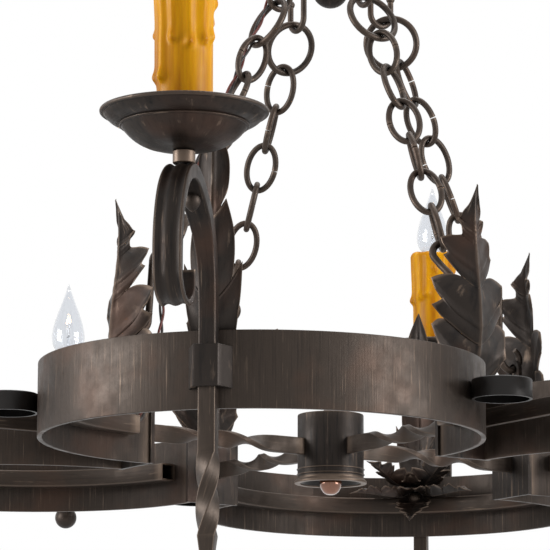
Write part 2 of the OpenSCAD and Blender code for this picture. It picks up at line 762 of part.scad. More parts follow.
module hub_bulb() {
    color(clear) fixture() rotate_extrude() polygon(concat(
        [[0, 54], [10, 54], [10, 30]],
        [for (k = [0:12]) let (a = 90 * k / 12) [2 + 10.5 * cos(a), 0 - 14.2 * sin(a)]],
        [[0, -14.2]]));
}

module cup_places() {
    for (a = RINGS, s = [-1, 1]) turned(a) translate([ring_offset, 0, 0]) turned(s * cup_angle)
        translate([ring_r + cup_r + seat, 0, cup_z]) children();
}

// Small round cups on the outside of each band, open below
module side_cups() {
    color(bronze) fixture() cup_places() rotate_extrude() polygon([
        [0, cup_h], [0, cup_h - cup_wall], [cup_r - cup_wall, cup_h - cup_wall],
        [cup_r - cup_wall, 2], [cup_r - cup_wall - 1, 0], [cup_r, 0], [cup_r, cup_h - 1.5],
        [cup_r - 1.5, cup_h]]);
}

module side_cup_lenses() {
    color(dark) fixture() cup_places() translate([0, 0, cup_h - cup_wall - seat - 3])
        cylinder(r = cup_r - cup_wall - 0.4, h = 3);
}

canopy();
mounting_strap();
strap_nut();
canopy_collar();
canopy_loop();
main_link_1();
main_link_2();
main_link_3();
crown_loop();
crown_post();
crown_hooks();
crown_ball();
chain_front_right();
chain_back_right();
chain_back_left();
chain_front_left();
s_hooks();
hanger_plates();
supply_wires();
band_front();
band_right();
band_back();
band_left();
tube_front();
tube_right();
tube_back();
tube_left();
junction_plates();
spoke_front_right();
spoke_back_right();
spoke_back_left();
spoke_front_left();
arm_front();
arm_right();
arm_back();
arm_left();
arm_clips();
arm_buds();
junction_leaves();
arm_leaves();
rosettes();
high_dishes();
low_dishes();
high_sleeves();
low_sleeves();
candle_nipples();
candle_sockets();
flame_bulbs();
ball_finials();
side_cups();
side_cup_lenses();
hub_housing();
hub_cap();
hub_flange();
hub_reflector();
hub_socket();
hub_bulb();
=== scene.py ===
"""Wagon wheel chandelier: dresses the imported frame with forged, cast and blown pieces.

Lengths are worked out in millimetres and written to the meshes in metres. Heights inside
the fixture count from the bottom edge of the ring bands, as a smith would lay them out.
"""
from collections import namedtuple

import bpy
import numpy as np
from mathutils import Matrix, Vector


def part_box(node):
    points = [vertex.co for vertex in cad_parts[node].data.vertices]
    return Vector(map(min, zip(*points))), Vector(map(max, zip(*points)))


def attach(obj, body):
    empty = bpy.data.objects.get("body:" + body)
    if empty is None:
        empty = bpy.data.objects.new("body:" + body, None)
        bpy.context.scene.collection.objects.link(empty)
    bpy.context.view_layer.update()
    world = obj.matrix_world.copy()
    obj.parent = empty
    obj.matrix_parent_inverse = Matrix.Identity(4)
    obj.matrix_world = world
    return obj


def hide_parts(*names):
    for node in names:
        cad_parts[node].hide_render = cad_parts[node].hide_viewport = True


bl_info = {
    "name": "Wagon Wheel Chandelier",
    "version": (1, 0, 0),
    "blender": (4, 5, 0),
    "location": "View3D > Sidebar > Chandelier",
    "description": "Forged rings, scroll arms, leaves, candles and chains round a downlight",
    "category": "Add Mesh",
}

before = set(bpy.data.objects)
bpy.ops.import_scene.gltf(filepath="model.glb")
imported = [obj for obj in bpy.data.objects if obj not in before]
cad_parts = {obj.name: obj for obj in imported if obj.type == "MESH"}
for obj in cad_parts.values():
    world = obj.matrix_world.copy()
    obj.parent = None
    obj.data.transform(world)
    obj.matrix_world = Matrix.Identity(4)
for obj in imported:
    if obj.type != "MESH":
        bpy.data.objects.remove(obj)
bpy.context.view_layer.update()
DROP = -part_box("band_front")[0].z * 1000
RINGS = {"front": 270, "right": 0, "back": 90, "left": 180}
JUNCTIONS = {"front_right": 315, "back_right": 45, "back_left": 135, "front_left": 225}
# Driving sizes in mm: the bands' wall and height, how far a ring's centre stands from the hub
# and its radius, the bars of tubes and arms, the plates, and the play between pieces that touch
BAND_T, BAND_H, OFFSET, RING_R = 4.8, 76.2, 361.5, 228.6
TUBE, BAR, PLATE_T, PLAY = 20.0, 17.0, 4.8, 0.1
# Distances from the hub's axis to the arms' bars, the raised and the low candles, and the
# junctions, then the heights of the dishes' feet
BAR_C = OFFSET + RING_R + PLAY + BAR / 2
CANDLE_R, LOW_R = BAR_C + 104, 605.0
JUNCTION = OFFSET * np.cos(np.pi / 4)
HIGH_DISH, LOW_DISH = 227.5, 61.7
BULB_FOOT = 163.2
Z = np.array([0.0, 0.0, 1.0])
Y = np.array([0.0, 1.0, 0.0])


# ---------------------------------------------------------------- sizes and colours

def length(name, text, value):
    return bpy.props.FloatProperty(name=name, description=text, default=value / 1000,
                                   unit="LENGTH", precision=4)


def colour(name, text, value):
    return bpy.props.FloatVectorProperty(name=name, description=text, default=value,
                                         subtype="COLOR", size=3, min=0, max=1)


class ChandelierSizes(bpy.types.PropertyGroup):
    band_edge: length("Band edge", "Rounding along the bands' edges", 0.7)
    strap_w: length("Strap width", "Width of the fluted strap at a scroll's end", 28)
    flute: length("Flute depth", "Depth of the two flutes along the strap's face", 2.0)
    link_wire: length("Link wire", "Radius of the chain links' wire", 3.5)
    link_gap: length("Link gap", "Open gap where a link's bent ends meet", 1.1)
    ring_wire: length("Ring wire", "Radius of the big rings' wire", 3.75)
    hook_wire: length("Hook wire", "Radius of the S hooks' wire", 4.0)
    leaf_t: length("Leaf thickness", "Thickness of the forged leaves", 1.8)
    leaf_w: length("Leaf half width", "Half width of the large leaves at their widest lobe", 48)
    sleeve_r: length("Sleeve radius", "Radius of the wax sleeves below their runs", 27.0)
    run_depth: length("Run depth", "How far the wax runs stand out", 4.4)
    glass: length("Glass wall", "Wall of the bulbs", 1.1)
    wire_r: length("Wire radius", "Radius of each supply wire", 1.5)
    spoke_turns: bpy.props.IntProperty(
        name="Spoke half turns", description="Half turns in a spoke's twist", default=2, min=0)
    runs: bpy.props.IntProperty(
        name="Wax runs", description="Runs of wax round a sleeve", default=13, min=1)


class ChandelierColours(bpy.types.PropertyGroup):
    bronze: colour("Bronze", "Main tone of the dark bronze finish", (0.023, 0.0175, 0.0145))
    shade: colour("Shade", "Darkest streaks of the finish", (0.009, 0.0075, 0.007))
    # The lighter tone serves the streaks of wear, and on edges and ridges it is partly wear and partly a
    # painted highlight.
    rub_and_highlight: colour("Rub", "Rubbed streaks and edges", (0.150, 0.108, 0.080))
    rust: colour("Russet", "Red-brown tint in patches", (0.060, 0.029, 0.018))
    wax: colour("Wax", "Amber of the candle sleeves", (0.60, 0.275, 0.001))
    wax_deep: colour("Deep wax", "Darker amber in the wax", (0.36, 0.125, 0.001))
    wire_red: colour("Red wire", "Cover of the red-brown wire", (0.13, 0.022, 0.014))
    wire_dark: colour("Dark wire", "Cover of the dark wire", (0.020, 0.014, 0.012))
    floor: colour("Floor", "Paper of the floor", (0.86, 0.86, 0.86))


def mm(name):
    """Size of that name, in millimetres."""
    return getattr(bpy.context.scene.chandelier_sizes, name) * 1000


def tone(name):
    """Colour of that name, with alpha."""
    return (*getattr(bpy.context.scene.chandelier_colours, name), 1.0)


# ---------------------------------------------------------------- surfaces

Part = namedtuple("Part", "grid wrap_rows")


def part(grid, wrap_rows=False):
    """A closed surface as a grid of points. Columns run round it and rows along it; the rows
    either come round to the first again or end in a cap at each end."""
    return Part(np.asarray(grid, float), wrap_rows)


def unit(v):
    """Vectors of length 1."""
    return v / np.maximum(np.linalg.norm(v, axis=-1, keepdims=True), 1e-12)


def spin(parts, angles, shift=(0.0, 0.0, 0.0)):
    """Copies of the parts, shifted and then turned about Z: x' = x cos a - y sin a,
    y' = x sin a + y cos a."""
    out = []
    for a in np.radians(np.atleast_1d(angles)):
        turn = np.array([[np.cos(a), np.sin(a), 0], [-np.sin(a), np.cos(a), 0], [0, 0, 1]])
        out += [p._replace(grid=moved(p, shift).grid @ turn) for p in parts]
    return out


def moved(p, by):
    """The part moved by [x, y, z]."""
    return p._replace(grid=p.grid + np.asarray(by, float))


def lower(parts):
    """The parts brought from the fixture's heights down to their place below the ceiling."""
    return [moved(p, -Z * DROP) for p in parts]


def through(points, per=6):
    """Smooth curve through points: between b and c, with neighbours a and d, it is the cubic
    0.5 (2b + (c-a)t + (2a-5b+4c-d)t^2 + (3b-a-3c+d)t^3)."""
    p = np.asarray(points, float)
    i, last = np.arange(len(p) - 1), len(p) - 1
    a, b, c, d = (p[np.clip(i + k, 0, last)][:, None] for k in (-1, 0, 1, 2))
    t = np.linspace(0, 1, per, endpoint=False)[None, :, None]
    out = 0.5 * (2 * b + (c - a) * t + (2 * a - 5 * b + 4 * c - d) * t ** 2
                 + (3 * b - a - 3 * c + d) * t ** 3)
    return np.vstack([out.reshape(-1, p.shape[1]), p[-1]])


def bar_section(w, t, corner, steps=4):
    """Rectangle w by t, each corner an arc of radius `corner`. w and t may be one value a
    row; the result has rows, points round the bar, and [across, outwards]."""
    w, t = np.broadcast_arrays(np.atleast_1d(w).astype(float), np.atleast_1d(t).astype(float))
    a = np.radians(np.array([0, 90, 180, 270])[:, None] + np.linspace(0, 90, steps)[None]).ravel()
    sx = np.repeat([1, -1, -1, 1], steps)
    sy = np.repeat([1, 1, -1, -1], steps)
    r = np.minimum(corner, 0.48 * np.minimum(w, t))[:, None]
    return np.stack([sx * (w[:, None] / 2 - r) + r * np.cos(a),
                     sy * (t[:, None] / 2 - r) + r * np.sin(a)], -1)


def round_section(r, around=14):
    """Circle of radius r; r may be one value a row."""
    a = np.linspace(0, 2 * np.pi, around, endpoint=False)
    r = np.atleast_1d(r)[:, None]
    return np.stack([r * np.cos(a), r * np.sin(a)], -1)


def twist(section, angle):
    """Each row's section turned in its own plane by that row's angle in degrees."""
    a = np.radians(np.atleast_1d(angle))[:, None]
    return np.stack([section[..., 0] * np.cos(a) - section[..., 1] * np.sin(a),
                     section[..., 0] * np.sin(a) + section[..., 1] * np.cos(a)], -1)


def sweep(path, section, up=Z, closed=False):
    """Section carried along a path: p + a (up x t) + b (t x (up x t)), where t is the path's
    direction and (a, b) are the section's points."""
    path = np.asarray(path, float)
    t = unit(np.roll(path, -1, 0) - np.roll(path, 1, 0) if closed
             else np.gradient(path, axis=0))
    side = unit(np.cross(up, t))
    out = np.cross(t, side)
    section = np.broadcast_to(section, (len(path),) + section.shape[-2:])
    grid = (path[:, None] + section[..., 0:1] * side[:, None] + section[..., 1:2] * out[:, None])
    return part(grid, wrap_rows=closed)


def lathe(profile, at=(0.0, 0.0, 0.0), around=64, closed=False):
    """Profile of [radius, height] turned about Z: (r cos a, r sin a, z)."""
    p = np.asarray(profile, float)
    a = np.linspace(0, 2 * np.pi, around, endpoint=False)
    r = np.maximum(p[:, 0], 0.02)[:, None]
    height = np.broadcast_to(p[:, 1:2], (len(p), around))
    grid = np.stack([r * np.cos(a), r * np.sin(a), height], -1)
    return part(grid + np.asarray(at), wrap_rows=closed)


def arc(centre, e, f, r, start, end, steps):
    """Points centre + r (e cos a + f sin a) from angle start to end, in degrees."""
    a = np.radians(np.linspace(start, end, steps))[:, None]
    return np.asarray(centre, float) + r * (np.cos(a) * np.asarray(e, float)
                                            + np.sin(a) * np.asarray(f, float))


def faces_of(p):
    """Quads of the grid and its end caps, as corner indices and as places in the UV grid;
    all turned round where the enclosed volume, sum of a . (b x c) / 6, is negative."""
    rows, cols = p.grid.shape[:2]
    r, c = np.meshgrid(np.arange(rows if p.wrap_rows else rows - 1), np.arange(cols),
                       indexing="ij")
    corners = ((r, c), (r, c + 1), (r + 1, c + 1), (r + 1, c))
    quads = np.stack([(a % rows) * cols + b % cols for a, b in corners], -1).reshape(-1, 4)
    places = np.stack([a * (cols + 1) + b for a, b in corners], -1).reshape(-1, 4)
    k = np.arange(cols)
    caps = [] if p.wrap_rows else [k[::-1], k + (rows - 1) * cols]
    cap_places = [] if p.wrap_rows else [k[::-1], k + (rows - 1) * (cols + 1)]
    co = p.grid.reshape(-1, 3)
    co = co - co.mean(0)
    tris = [quads[:, [0, 1, 2]], quads[:, [0, 2, 3]]]
    tris += [np.stack([np.full(cols - 2, f[0]), f[1:-1], f[2:]], -1) for f in caps]
    a, b, d = (co[np.vstack(tris)[:, i]] for i in range(3))
    if (a * np.cross(b, d)).sum() < 0:
        quads, places = quads[:, ::-1], places[:, ::-1]
        caps, cap_places = [f[::-1] for f in caps], [f[::-1] for f in cap_places]
    return quads, places, caps, cap_places


def uv_of(p):
    """Metres round and metres along the surface, with one more row and column for its seam."""
    g = p.grid
    around = np.linalg.norm(np.diff(np.concatenate([g, g[:, :1]], 1), axis=1), axis=-1).mean(0)
    along = np.linalg.norm(np.diff(np.concatenate([g, g[:1]], 0), axis=0), axis=-1).mean(1)
    u = np.concatenate([[0], np.cumsum(around)]) / 1000
    v = np.concatenate([[0], np.cumsum(along)]) / 1000
    return np.stack(np.meshgrid(u, v), -1).reshape(-1, 2)


def build(name, parts, material, body="fixture", stands_for=(), sharp=38):
    """One smooth-shaded mesh object of closed parts, riding on a body."""
    co, loops, starts, uvs, base, corner = [], [], [], [], 0, 0
    for p in parts:
        quads, places, caps, cap_places = faces_of(p)
        uv = uv_of(p)
        for faces, where in [(quads, places)] + list(zip([f[None] for f in caps],
                                                         [w[None] for w in cap_places])):
            loops.append(faces.ravel() + base)
            starts.append(corner + np.arange(len(faces)) * faces.shape[1])
            uvs.append(uv[where.ravel()])
            corner += faces.size
        co.append(p.grid.reshape(-1, 3) / 1000)
        base += co[-1].shape[0]
    co, uvs = np.vstack(co), np.vstack(uvs)
    loops, starts = np.concatenate(loops), np.concatenate(starts)
    mesh = bpy.data.meshes.new(name)
    mesh.vertices.add(len(co))
    mesh.vertices.foreach_set("co", co.astype(np.float32).ravel())
    mesh.loops.add(len(loops))
    mesh.loops.foreach_set("vertex_index", loops.astype(np.int32))
    mesh.polygons.add(len(starts))
    mesh.polygons.foreach_set("loop_start", starts.astype(np.int32))
    mesh.uv_layers.new(name="Surface").uv.foreach_set("vector", uvs.astype(np.float32).ravel())
    mesh.update(calc_edges=True)
    mesh.validate()
    mesh.shade_smooth()
    mesh.set_sharp_from_angle(angle=np.radians(sharp))
    mesh.materials.append(material)
    piece = bpy.data.objects.new(name, mesh)
    bpy.context.scene.collection.objects.link(piece)
    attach(piece, body)
    if stands_for:
        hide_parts(*stands_for)
    return piece


# ---------------------------------------------------------------- finishes

def nodes_of(name):
    """New material with its node tree and its surface shader."""
    mat = bpy.data.materials.new(name)
    mat.use_nodes = True
    tree = mat.node_tree
    return mat, tree, tree.nodes["Principled BSDF"]


def add(tree, kind, inputs=(), **settings):
    """Node of that kind with its settings; inputs are values, or sockets to link."""
    node = tree.nodes.new(kind)
    for key, value in settings.items():
        setattr(node, key, value)
    for key, value in dict(inputs).items():
        if isinstance(value, bpy.types.NodeSocket):
            tree.links.new(value, node.inputs[key])
        else:
            node.inputs[key].default_value = value
    return node


def ramp(tree, fac, stops):
    """Colour ramp over fac; stops are (place, colour)."""
    node = add(tree, "ShaderNodeValToRGB", {"Fac": fac})
    while len(node.color_ramp.elements) < len(stops):
        node.color_ramp.elements.new(0.5)
    for element, (place, value) in zip(node.color_ramp.elements, stops):
        element.position = place
        element.color = value if len(value) == 4 else (*value, 1)
    return node.outputs["Color"]


def grey(v):
    """Grey of value v, with alpha."""
    return (v, v, v, 1.0)


def brushed_bronze(name, across, along, wear_and_highlight=0.5, on_uv=True):
    """Dark bronze with streaks where lighter metal shows through. The streaks are noise drawn out along
    the surface: fine across (cycles a metre), long along it. Edges and ridges, found by pointiness, turn
    lighter: partly edge wear, partly a painted highlight."""
    mat, tree, skin = nodes_of(name)
    where = tree.nodes.new("ShaderNodeTexCoord").outputs["UV" if on_uv else "Object"]
    stretch = (across, along, 1) if on_uv else (across, across, along)
    fine = add(tree, "ShaderNodeMapping", {"Vector": where, "Scale": stretch}).outputs[0]
    streak = add(tree, "ShaderNodeTexNoise", {"Vector": fine, "Scale": 1.0, "Detail": 5.0,
                                              "Roughness": 0.62}).outputs["Fac"]
    spot = tree.nodes.new("ShaderNodeTexCoord").outputs["Object"]
    patch = add(tree, "ShaderNodeTexNoise", {"Vector": spot, "Scale": 14.0, "Detail": 3.0,
                                             "Roughness": 0.55}).outputs["Fac"]
    mottle = add(tree, "ShaderNodeTexNoise", {"Vector": spot, "Scale": 55.0, "Detail": 4.0,
                                              "Roughness": 0.6}).outputs["Fac"]
    base = ramp(tree, streak, [(0.32, tone("shade")), (0.48, tone("bronze")),
                               (0.60, tone("bronze")), (0.74, tone("rub_and_highlight"))])
    # Mix has one socket of each name for every data type; the colour ones are set by index
    tinted = add(tree, "ShaderNodeMix", data_type="RGBA", blend_type="MIX")
    wire_mix(tree, tinted, ramp(tree, patch, [(0.50, grey(0)), (0.70, grey(0.5))]), base,
             tone("rust"))
    # Painted highlight with edge wear: edges and ridges, found by pointiness, are lightened towards the
    # lighter tone, partly as wear and partly as a painted highlight.
    edge = tree.nodes.new("ShaderNodeNewGeometry").outputs["Pointiness"]
    edge_wear_and_highlight = add(tree, "ShaderNodeMix", data_type="RGBA", blend_type="MIX")
    wire_mix(tree, edge_wear_and_highlight, ramp(tree, edge, [(0.515, grey(0)), (0.56, grey(wear_and_highlight))]),
             tinted.outputs[2], tone("rub_and_highlight"))
    tree.links.new(edge_wear_and_highlight.outputs[2], skin.inputs["Base Color"])
    skin.inputs["Metallic"].default_value = 0.75
    tree.links.new(ramp(tree, mottle, [(0.3, grey(0.36)), (0.7, grey(0.56))]),
                   skin.inputs["Roughness"])
    height = add(tree, "ShaderNodeMath", {0: streak, 1: mottle}, operation="ADD").outputs[0]
    bump = add(tree, "ShaderNodeBump", {"Height": height, "Strength": 0.35, "Distance": 0.0006})
    tree.links.new(bump.outputs[0], skin.inputs["Normal"])
    return mat


def wire_mix(tree, node, factor, a, b):
    """Sets a colour Mix node's factor and its two colours, each a socket or a value."""
    for key, value in ((0, factor), (6, a), (7, b)):
        if isinstance(value, bpy.types.NodeSocket):
            tree.links.new(value, node.inputs[key])
        else:
            node.inputs[key].default_value = value


def cast_wax():
    """Amber wax: upright bands of lighter and deeper amber, light scattered under the skin."""
    mat, tree, skin = nodes_of("cast wax")
    where = tree.nodes.new("ShaderNodeTexCoord").outputs["Object"]
    drawn = add(tree, "ShaderNodeMapping", {"Vector": where, "Scale": (90, 90, 7)}).outputs[0]
    band = add(tree, "ShaderNodeTexNoise", {"Vector": drawn, "Scale": 1.0, "Detail": 3.0,
                                            "Roughness": 0.5}).outputs["Fac"]
    cloud = add(tree, "ShaderNodeTexNoise", {"Vector": where, "Scale": 60.0,
                                             "Detail": 3.0}).outputs["Fac"]
    tree.links.new(ramp(tree, band, [(0.36, tone("wax_deep")), (0.62, tone("wax"))]),
                   skin.inputs["Base Color"])
    skin.inputs["Subsurface Weight"].default_value = 0.12
    skin.inputs["Subsurface Radius"].default_value = (1.0, 0.45, 0.06)
    skin.inputs["Subsurface Scale"].default_value = 0.012
    skin.inputs["Specular IOR Level"].default_value = 0.12
    tree.links.new(ramp(tree, cloud, [(0.3, grey(0.30)), (0.7, grey(0.46))]),
                   skin.inputs["Roughness"])
    bump = add(tree, "ShaderNodeBump", {"Height": cloud, "Strength": 0.25, "Distance": 0.0006})
    tree.links.new(bump.outputs[0], skin.inputs["Normal"])
    return mat


def plain(name, base, rough, metal=0.0, scale=120.0, spread=0.08, **more):
    """Plain finish whose roughness and tone vary a little with noise."""
    mat, tree, skin = nodes_of(name)
    where = tree.nodes.new("ShaderNodeTexCoord").outputs["Object"]
    noise = add(tree, "ShaderNodeTexNoise", {"Vector": where, "Scale": scale,
                                             "Detail": 4.0}).outputs["Fac"]
    dim = tuple(c * 0.82 for c in base[:3]) + (1,)
    tree.links.new(ramp(tree, noise, [(0.3, dim), (0.7, base)]), skin.inputs["Base Color"])
    tree.links.new(ramp(tree, noise, [(0.3, grey(rough - spread)), (0.7, grey(rough + spread))]),
                   skin.inputs["Roughness"])
    skin.inputs["Metallic"].default_value = metal
    for key, value in more.items():
        skin.inputs[key.replace("_", " ")].default_value = value
    return mat


def clear_glass(name, tint, rough=0.01):
    """Thin blown glass with a faint waviness."""
    mat, tree, skin = nodes_of(name)
    skin.inputs["Base Color"].default_value = tint
    skin.inputs["Roughness"].default_value = rough
    skin.inputs["IOR"].default_value = 1.45
    skin.inputs["Transmission Weight"].default_value = 1.0
    where = tree.nodes.new("ShaderNodeTexCoord").outputs["Object"]
    wave = add(tree, "ShaderNodeTexNoise", {"Vector": where, "Scale": 45.0}).outputs["Fac"]
    bump = add(tree, "ShaderNodeBump", {"Height": wave, "Strength": 0.06, "Distance": 0.001})
    tree.links.new(bump.outputs[0], skin.inputs["Normal"])
    return mat


def glow(name, base, strength):
    """Lit filament."""
    mat, _, skin = nodes_of(name)
    skin.inputs["Base Color"].default_value = base
    skin.inputs["Emission Color"].default_value = base
    skin.inputs["Emission Strength"].default_value = strength
    return mat


FINISH = {}


def finish(name):
    """The finish of that name, made once."""
    makers = {
        # The last number sets how far edges and ridges lighten: partly edge wear, partly a painted
        # highlight.
        "band bronze": lambda: brushed_bronze("band bronze", 14, 420, 0.5),
        "bar bronze": lambda: brushed_bronze("bar bronze", 300, 16, 0.8),
        "leaf bronze": lambda: brushed_bronze("leaf bronze", 70, 22, 0.6),
        "cast bronze": lambda: brushed_bronze("cast bronze", 180, 60, 0.6),
        "wire bronze": lambda: brushed_bronze("wire bronze", 150, 60, 0.5),
        "plate bronze": lambda: brushed_bronze("plate bronze", 260, 14, 0.0, on_uv=False),
        "clip bronze": lambda: brushed_bronze("clip bronze", 70, 12, 0.0, on_uv=False),
        # Dark bronze is painted shade: a darker copy of the bronze for the hub's reflector and the side
        # cups, which stand in shadow.
        "dark bronze": lambda: plain("dark bronze", (0.014, 0.012, 0.011, 1), 0.42, 0.6),
        "cast wax": cast_wax,
        "bulb glass": lambda: clear_glass("bulb glass", (0.84, 0.855, 0.88, 1)),
        "coppered glass": lambda: plain("coppered glass", (0.20, 0.075, 0.035, 1), 0.14, 0.6,
                                        Coat_Weight=1.0, Coat_Roughness=0.03),
        "filament": lambda: glow("filament", (1.0, 0.55, 0.22, 1), 30.0),
        "support wire": lambda: plain("support wire", (0.5, 0.5, 0.5, 1), 0.3, 1.0),
        "brass cap": lambda: plain("brass cap", (0.55, 0.40, 0.16, 1), 0.32, 1.0),
        "socket": lambda: plain("socket", (0.78, 0.77, 0.73, 1), 0.5),
        "zinc": lambda: plain("zinc", (0.55, 0.55, 0.54, 1), 0.36, 1.0),
        "red wire": lambda: plain("red wire", tone("wire_red"), 0.42),
        "dark wire": lambda: plain("dark wire", tone("wire_dark"), 0.42),
        # The lens is painted shade: a near-black disc standing for the shade inside each side cup.
        "lens": lambda: plain("lens", (0.02, 0.02, 0.022, 1), 0.3),
    }
    if name not in FINISH:
        FINISH[name] = makers[name]()
    return FINISH[name]


def repaint(node, name):
    """A CAD node keeps its shape and takes a finish."""
    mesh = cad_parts[node].data
    mesh.materials.clear()
    mesh.materials.append(finish(name))


# ---------------------------------------------------------------- rings

def ring_path(radius, cut, z, steps=150):
    """Circle of that radius round a ring's centre, open for `cut` degrees each side of the
    hub: (offset + r cos a, r sin a, z)."""
    return arc((OFFSET, 0, z), (1, 0, 0), (0, 1, 0), radius, cut - 180, 180 - cut, steps)


def make_rings():
    """Bands whose wall t(s) = T + 0.08 sin 60s + 0.05 sin 151s is as uneven as a rolled bar's,
    and the square tubes inside them; the plates keep their solids."""
    edge = mm("band_edge")
    for name, a in RINGS.items():
        path = ring_path(RING_R - BAND_T / 2, 45, BAND_H / 2)
        # Flat bar on edge: its section's first axis runs across the wall, its second upwards
        run = np.linspace(0, 1, len(path))
        wall = BAND_T + 0.08 * np.sin(60 * run) + 0.05 * np.sin(151 * run)
        bar = bar_section(wall, BAND_H, edge)
        build(f"band_{name}_bar", lower(spin([sweep(path, bar)], a)), finish("band bronze"),
              stands_for=[f"band_{name}"])
        path = ring_path(RING_R - BAND_T - PLAY - TUBE / 2, 52, 38, 130)
        rows = sweep(path, bar_section(TUBE, TUBE, 2.2)).grid
        bore = sweep(path, bar_section(16.8, 16.8, 1.2)).grid
        # Tube: out along the outside, back along the bore, joined at both ends
        shell = part(np.concatenate([rows, bore[::-1]]), wrap_rows=True)
        build(f"tube_{name}_bar", lower(spin([shell], a)), finish("bar bronze"),
              stands_for=[f"tube_{name}"])
    for node in ("junction_plates", "hanger_plates"):
        repaint(node, "plate bronze")


# ---------------------------------------------------------------- spokes

def make_spokes():
    """Spokes, flat bar twisted by 180 n (3 u^2 - 2 u^3) degrees over the share u of the way from
    the hub to the junction plate, with the seats of the low candles and the finials' balls."""
    turns = bpy.context.scene.chandelier_sizes.spoke_turns
    hub_r, twist_in, twist_out = 37.3, 57.2, JUNCTION - 22
    for name, a in JUNCTIONS.items():
        x = np.concatenate([np.linspace(hub_r, twist_in, 4), np.linspace(58, JUNCTION - 23, 90),
                            np.linspace(twist_out, LOW_R, 12)])
        share = np.clip((x - twist_in) / (twist_out - twist_in), 0, 1)
        angle = 180 * turns * share * share * (3 - 2 * share)
        path = np.stack([x, 0 * x, 0 * x + 38], -1)
        bar = sweep(path, twist(bar_section(6.4, 19, 1.1), angle))
        seat = lathe([[0, 28.6], [9.4, 28.6], [10, 29.2], [10, 48.6], [9.4, 49.2], [0, 49.2]],
                     (LOW_R, 0, 0), 32)
        build(f"spoke_{name}_bar", lower(spin([bar, seat], a)), finish("bar bronze"),
              stands_for=[f"spoke_{name}"])
    a, ball_r = np.radians(np.linspace(-90, 87, 30)), 13.6
    ball = np.stack([ball_r * np.cos(a), ball_r * np.sin(a) + 15.9], -1)
    build("finial_balls", lower(spin([lathe(ball, (LOW_R, 0, 0), 40)], list(JUNCTIONS.values()))),
          finish("cast bronze"), stands_for=["ball_finials"])


# ---------------------------------------------------------------- scroll arms

def crook():
    """Centre line of a scroll in the plane of its arm: up the bar, leaning out over the arch
    to the candle's foot, down the strap, and round a curl of 28 mm that turns 195 degrees."""
    end_r, end_z, curl_r = 763, 106, 28
    arch = through([[BAR_C, 40], [BAR_C, 66], [BAR_C, 88], [BAR_C + 1, 108], [BAR_C + 3.5, 127],
                    [BAR_C + 9, 145], [BAR_C + 19, 162], [635, 178.5], [656, 191.5], [680, 202.8],
                    [CANDLE_R, 207], [723, 202.5], [740, 190], [752.5, 171], [760, 150],
                    [end_r, 129], [end_r, end_z]], 7)
    a = np.radians(np.linspace(0, -195, 40))[1:]
    curl = np.stack([end_r - curl_r * (1 - np.cos(a)), end_z + curl_r * np.sin(a)], -1)
    path = np.vstack([arch, curl])
    return np.stack([path[:, 0], 0 * path[:, 0], path[:, 1]], -1)


def strap_section(w, t, flute, corner):
    """Bar section whose outer face carries two flutes between three ridges: the face sinks by
    flute sin(2 pi a / w)^2 at distance a from its middle."""
    flat = bar_section(w, t, corner, 7)
    w, flute = np.asarray(w, float)[:, None], np.asarray(flute, float)[:, None]
    q = np.linspace(0.40, -0.40, 25)[None] * w
    face = np.stack([q, t[:, None] / 2 - flute * np.sin(2 * np.pi * q / w) ** 2], -1)
    return np.concatenate([flat[:, :7], face, flat[:, 7:]], 1)


def make_arms():
    """Scroll arms: the head's width w, thickness t and flute depth d change with the distance s
    along the crook; the shaft below the band is twisted half a turn and drawn to a tail."""
    width, flute = mm("strap_w"), mm("flute")
    path = crook()
    s = np.concatenate([[0], np.cumsum(np.linalg.norm(np.diff(path, axis=0), axis=1))])
    w = np.interp(s, [50, 110, 160, 220, 275, 410, 447],
                  [BAR, BAR + 1, 23, width - 2, width, width, width - 2])
    t = np.interp(s, [50, 125, 180, 223, 265, 305, 447], [BAR, 16.5, 16, 16, 12, 8.8, 4.5])
    d = np.interp(s, [130, 230], [0, flute])
    # Across the strap is the arm's own Y, outwards is away from the bend's inside
    head = sweep(path, strap_section(w, t, d, 2.2)[..., ::-1] * [-1, 1], up=Y)
    tail, twist_low, twist_high, knob_r = -165, -123, -43, 6.4
    z = np.concatenate([np.linspace(tail, twist_low - 0.5, 16),
                        np.linspace(twist_low, twist_high, 60), np.linspace(-42, 42, 14)])
    turn = 180 * np.clip((twist_high - z) / (twist_high - twist_low), 0, 1)
    side = BAR * np.interp(z, [tail, twist_low], [0.42, 1])
    shaft = sweep(np.stack([0 * z + BAR_C, 0 * z, z], -1),
                  twist(bar_section(side, side, 1.3), -turn), up=Y)
    a = np.radians(np.linspace(-90, 90, 20))
    knob = lathe(np.stack([knob_r * np.cos(a), knob_r * np.sin(a) + tail], -1), (BAR_C, 0, 0), 24)
    for name, angle in RINGS.items():
        build(f"scroll_arm_{name}", lower(spin([shaft, head, knob], angle)), finish("bar bronze"),
              stands_for=[f"arm_{name}"])
    angles = list(RINGS.values())
    u = np.linspace(0, 1, 30)
    bud = np.stack([8 * np.sin(np.pi * u ** 0.8), 27 * u], -1)[:-2]
    bud = np.vstack([bud, [2.4, 27]])
    build("scroll_buds", lower(spin([lathe(bud, (CANDLE_R - 34, 0, 175.7), 28)], angles)),
          finish("cast bronze"), stands_for=["arm_buds"])
    build("clip_straps", lower(spin([clip()], angles)), finish("clip bronze"),
          stands_for=["arm_clips"])


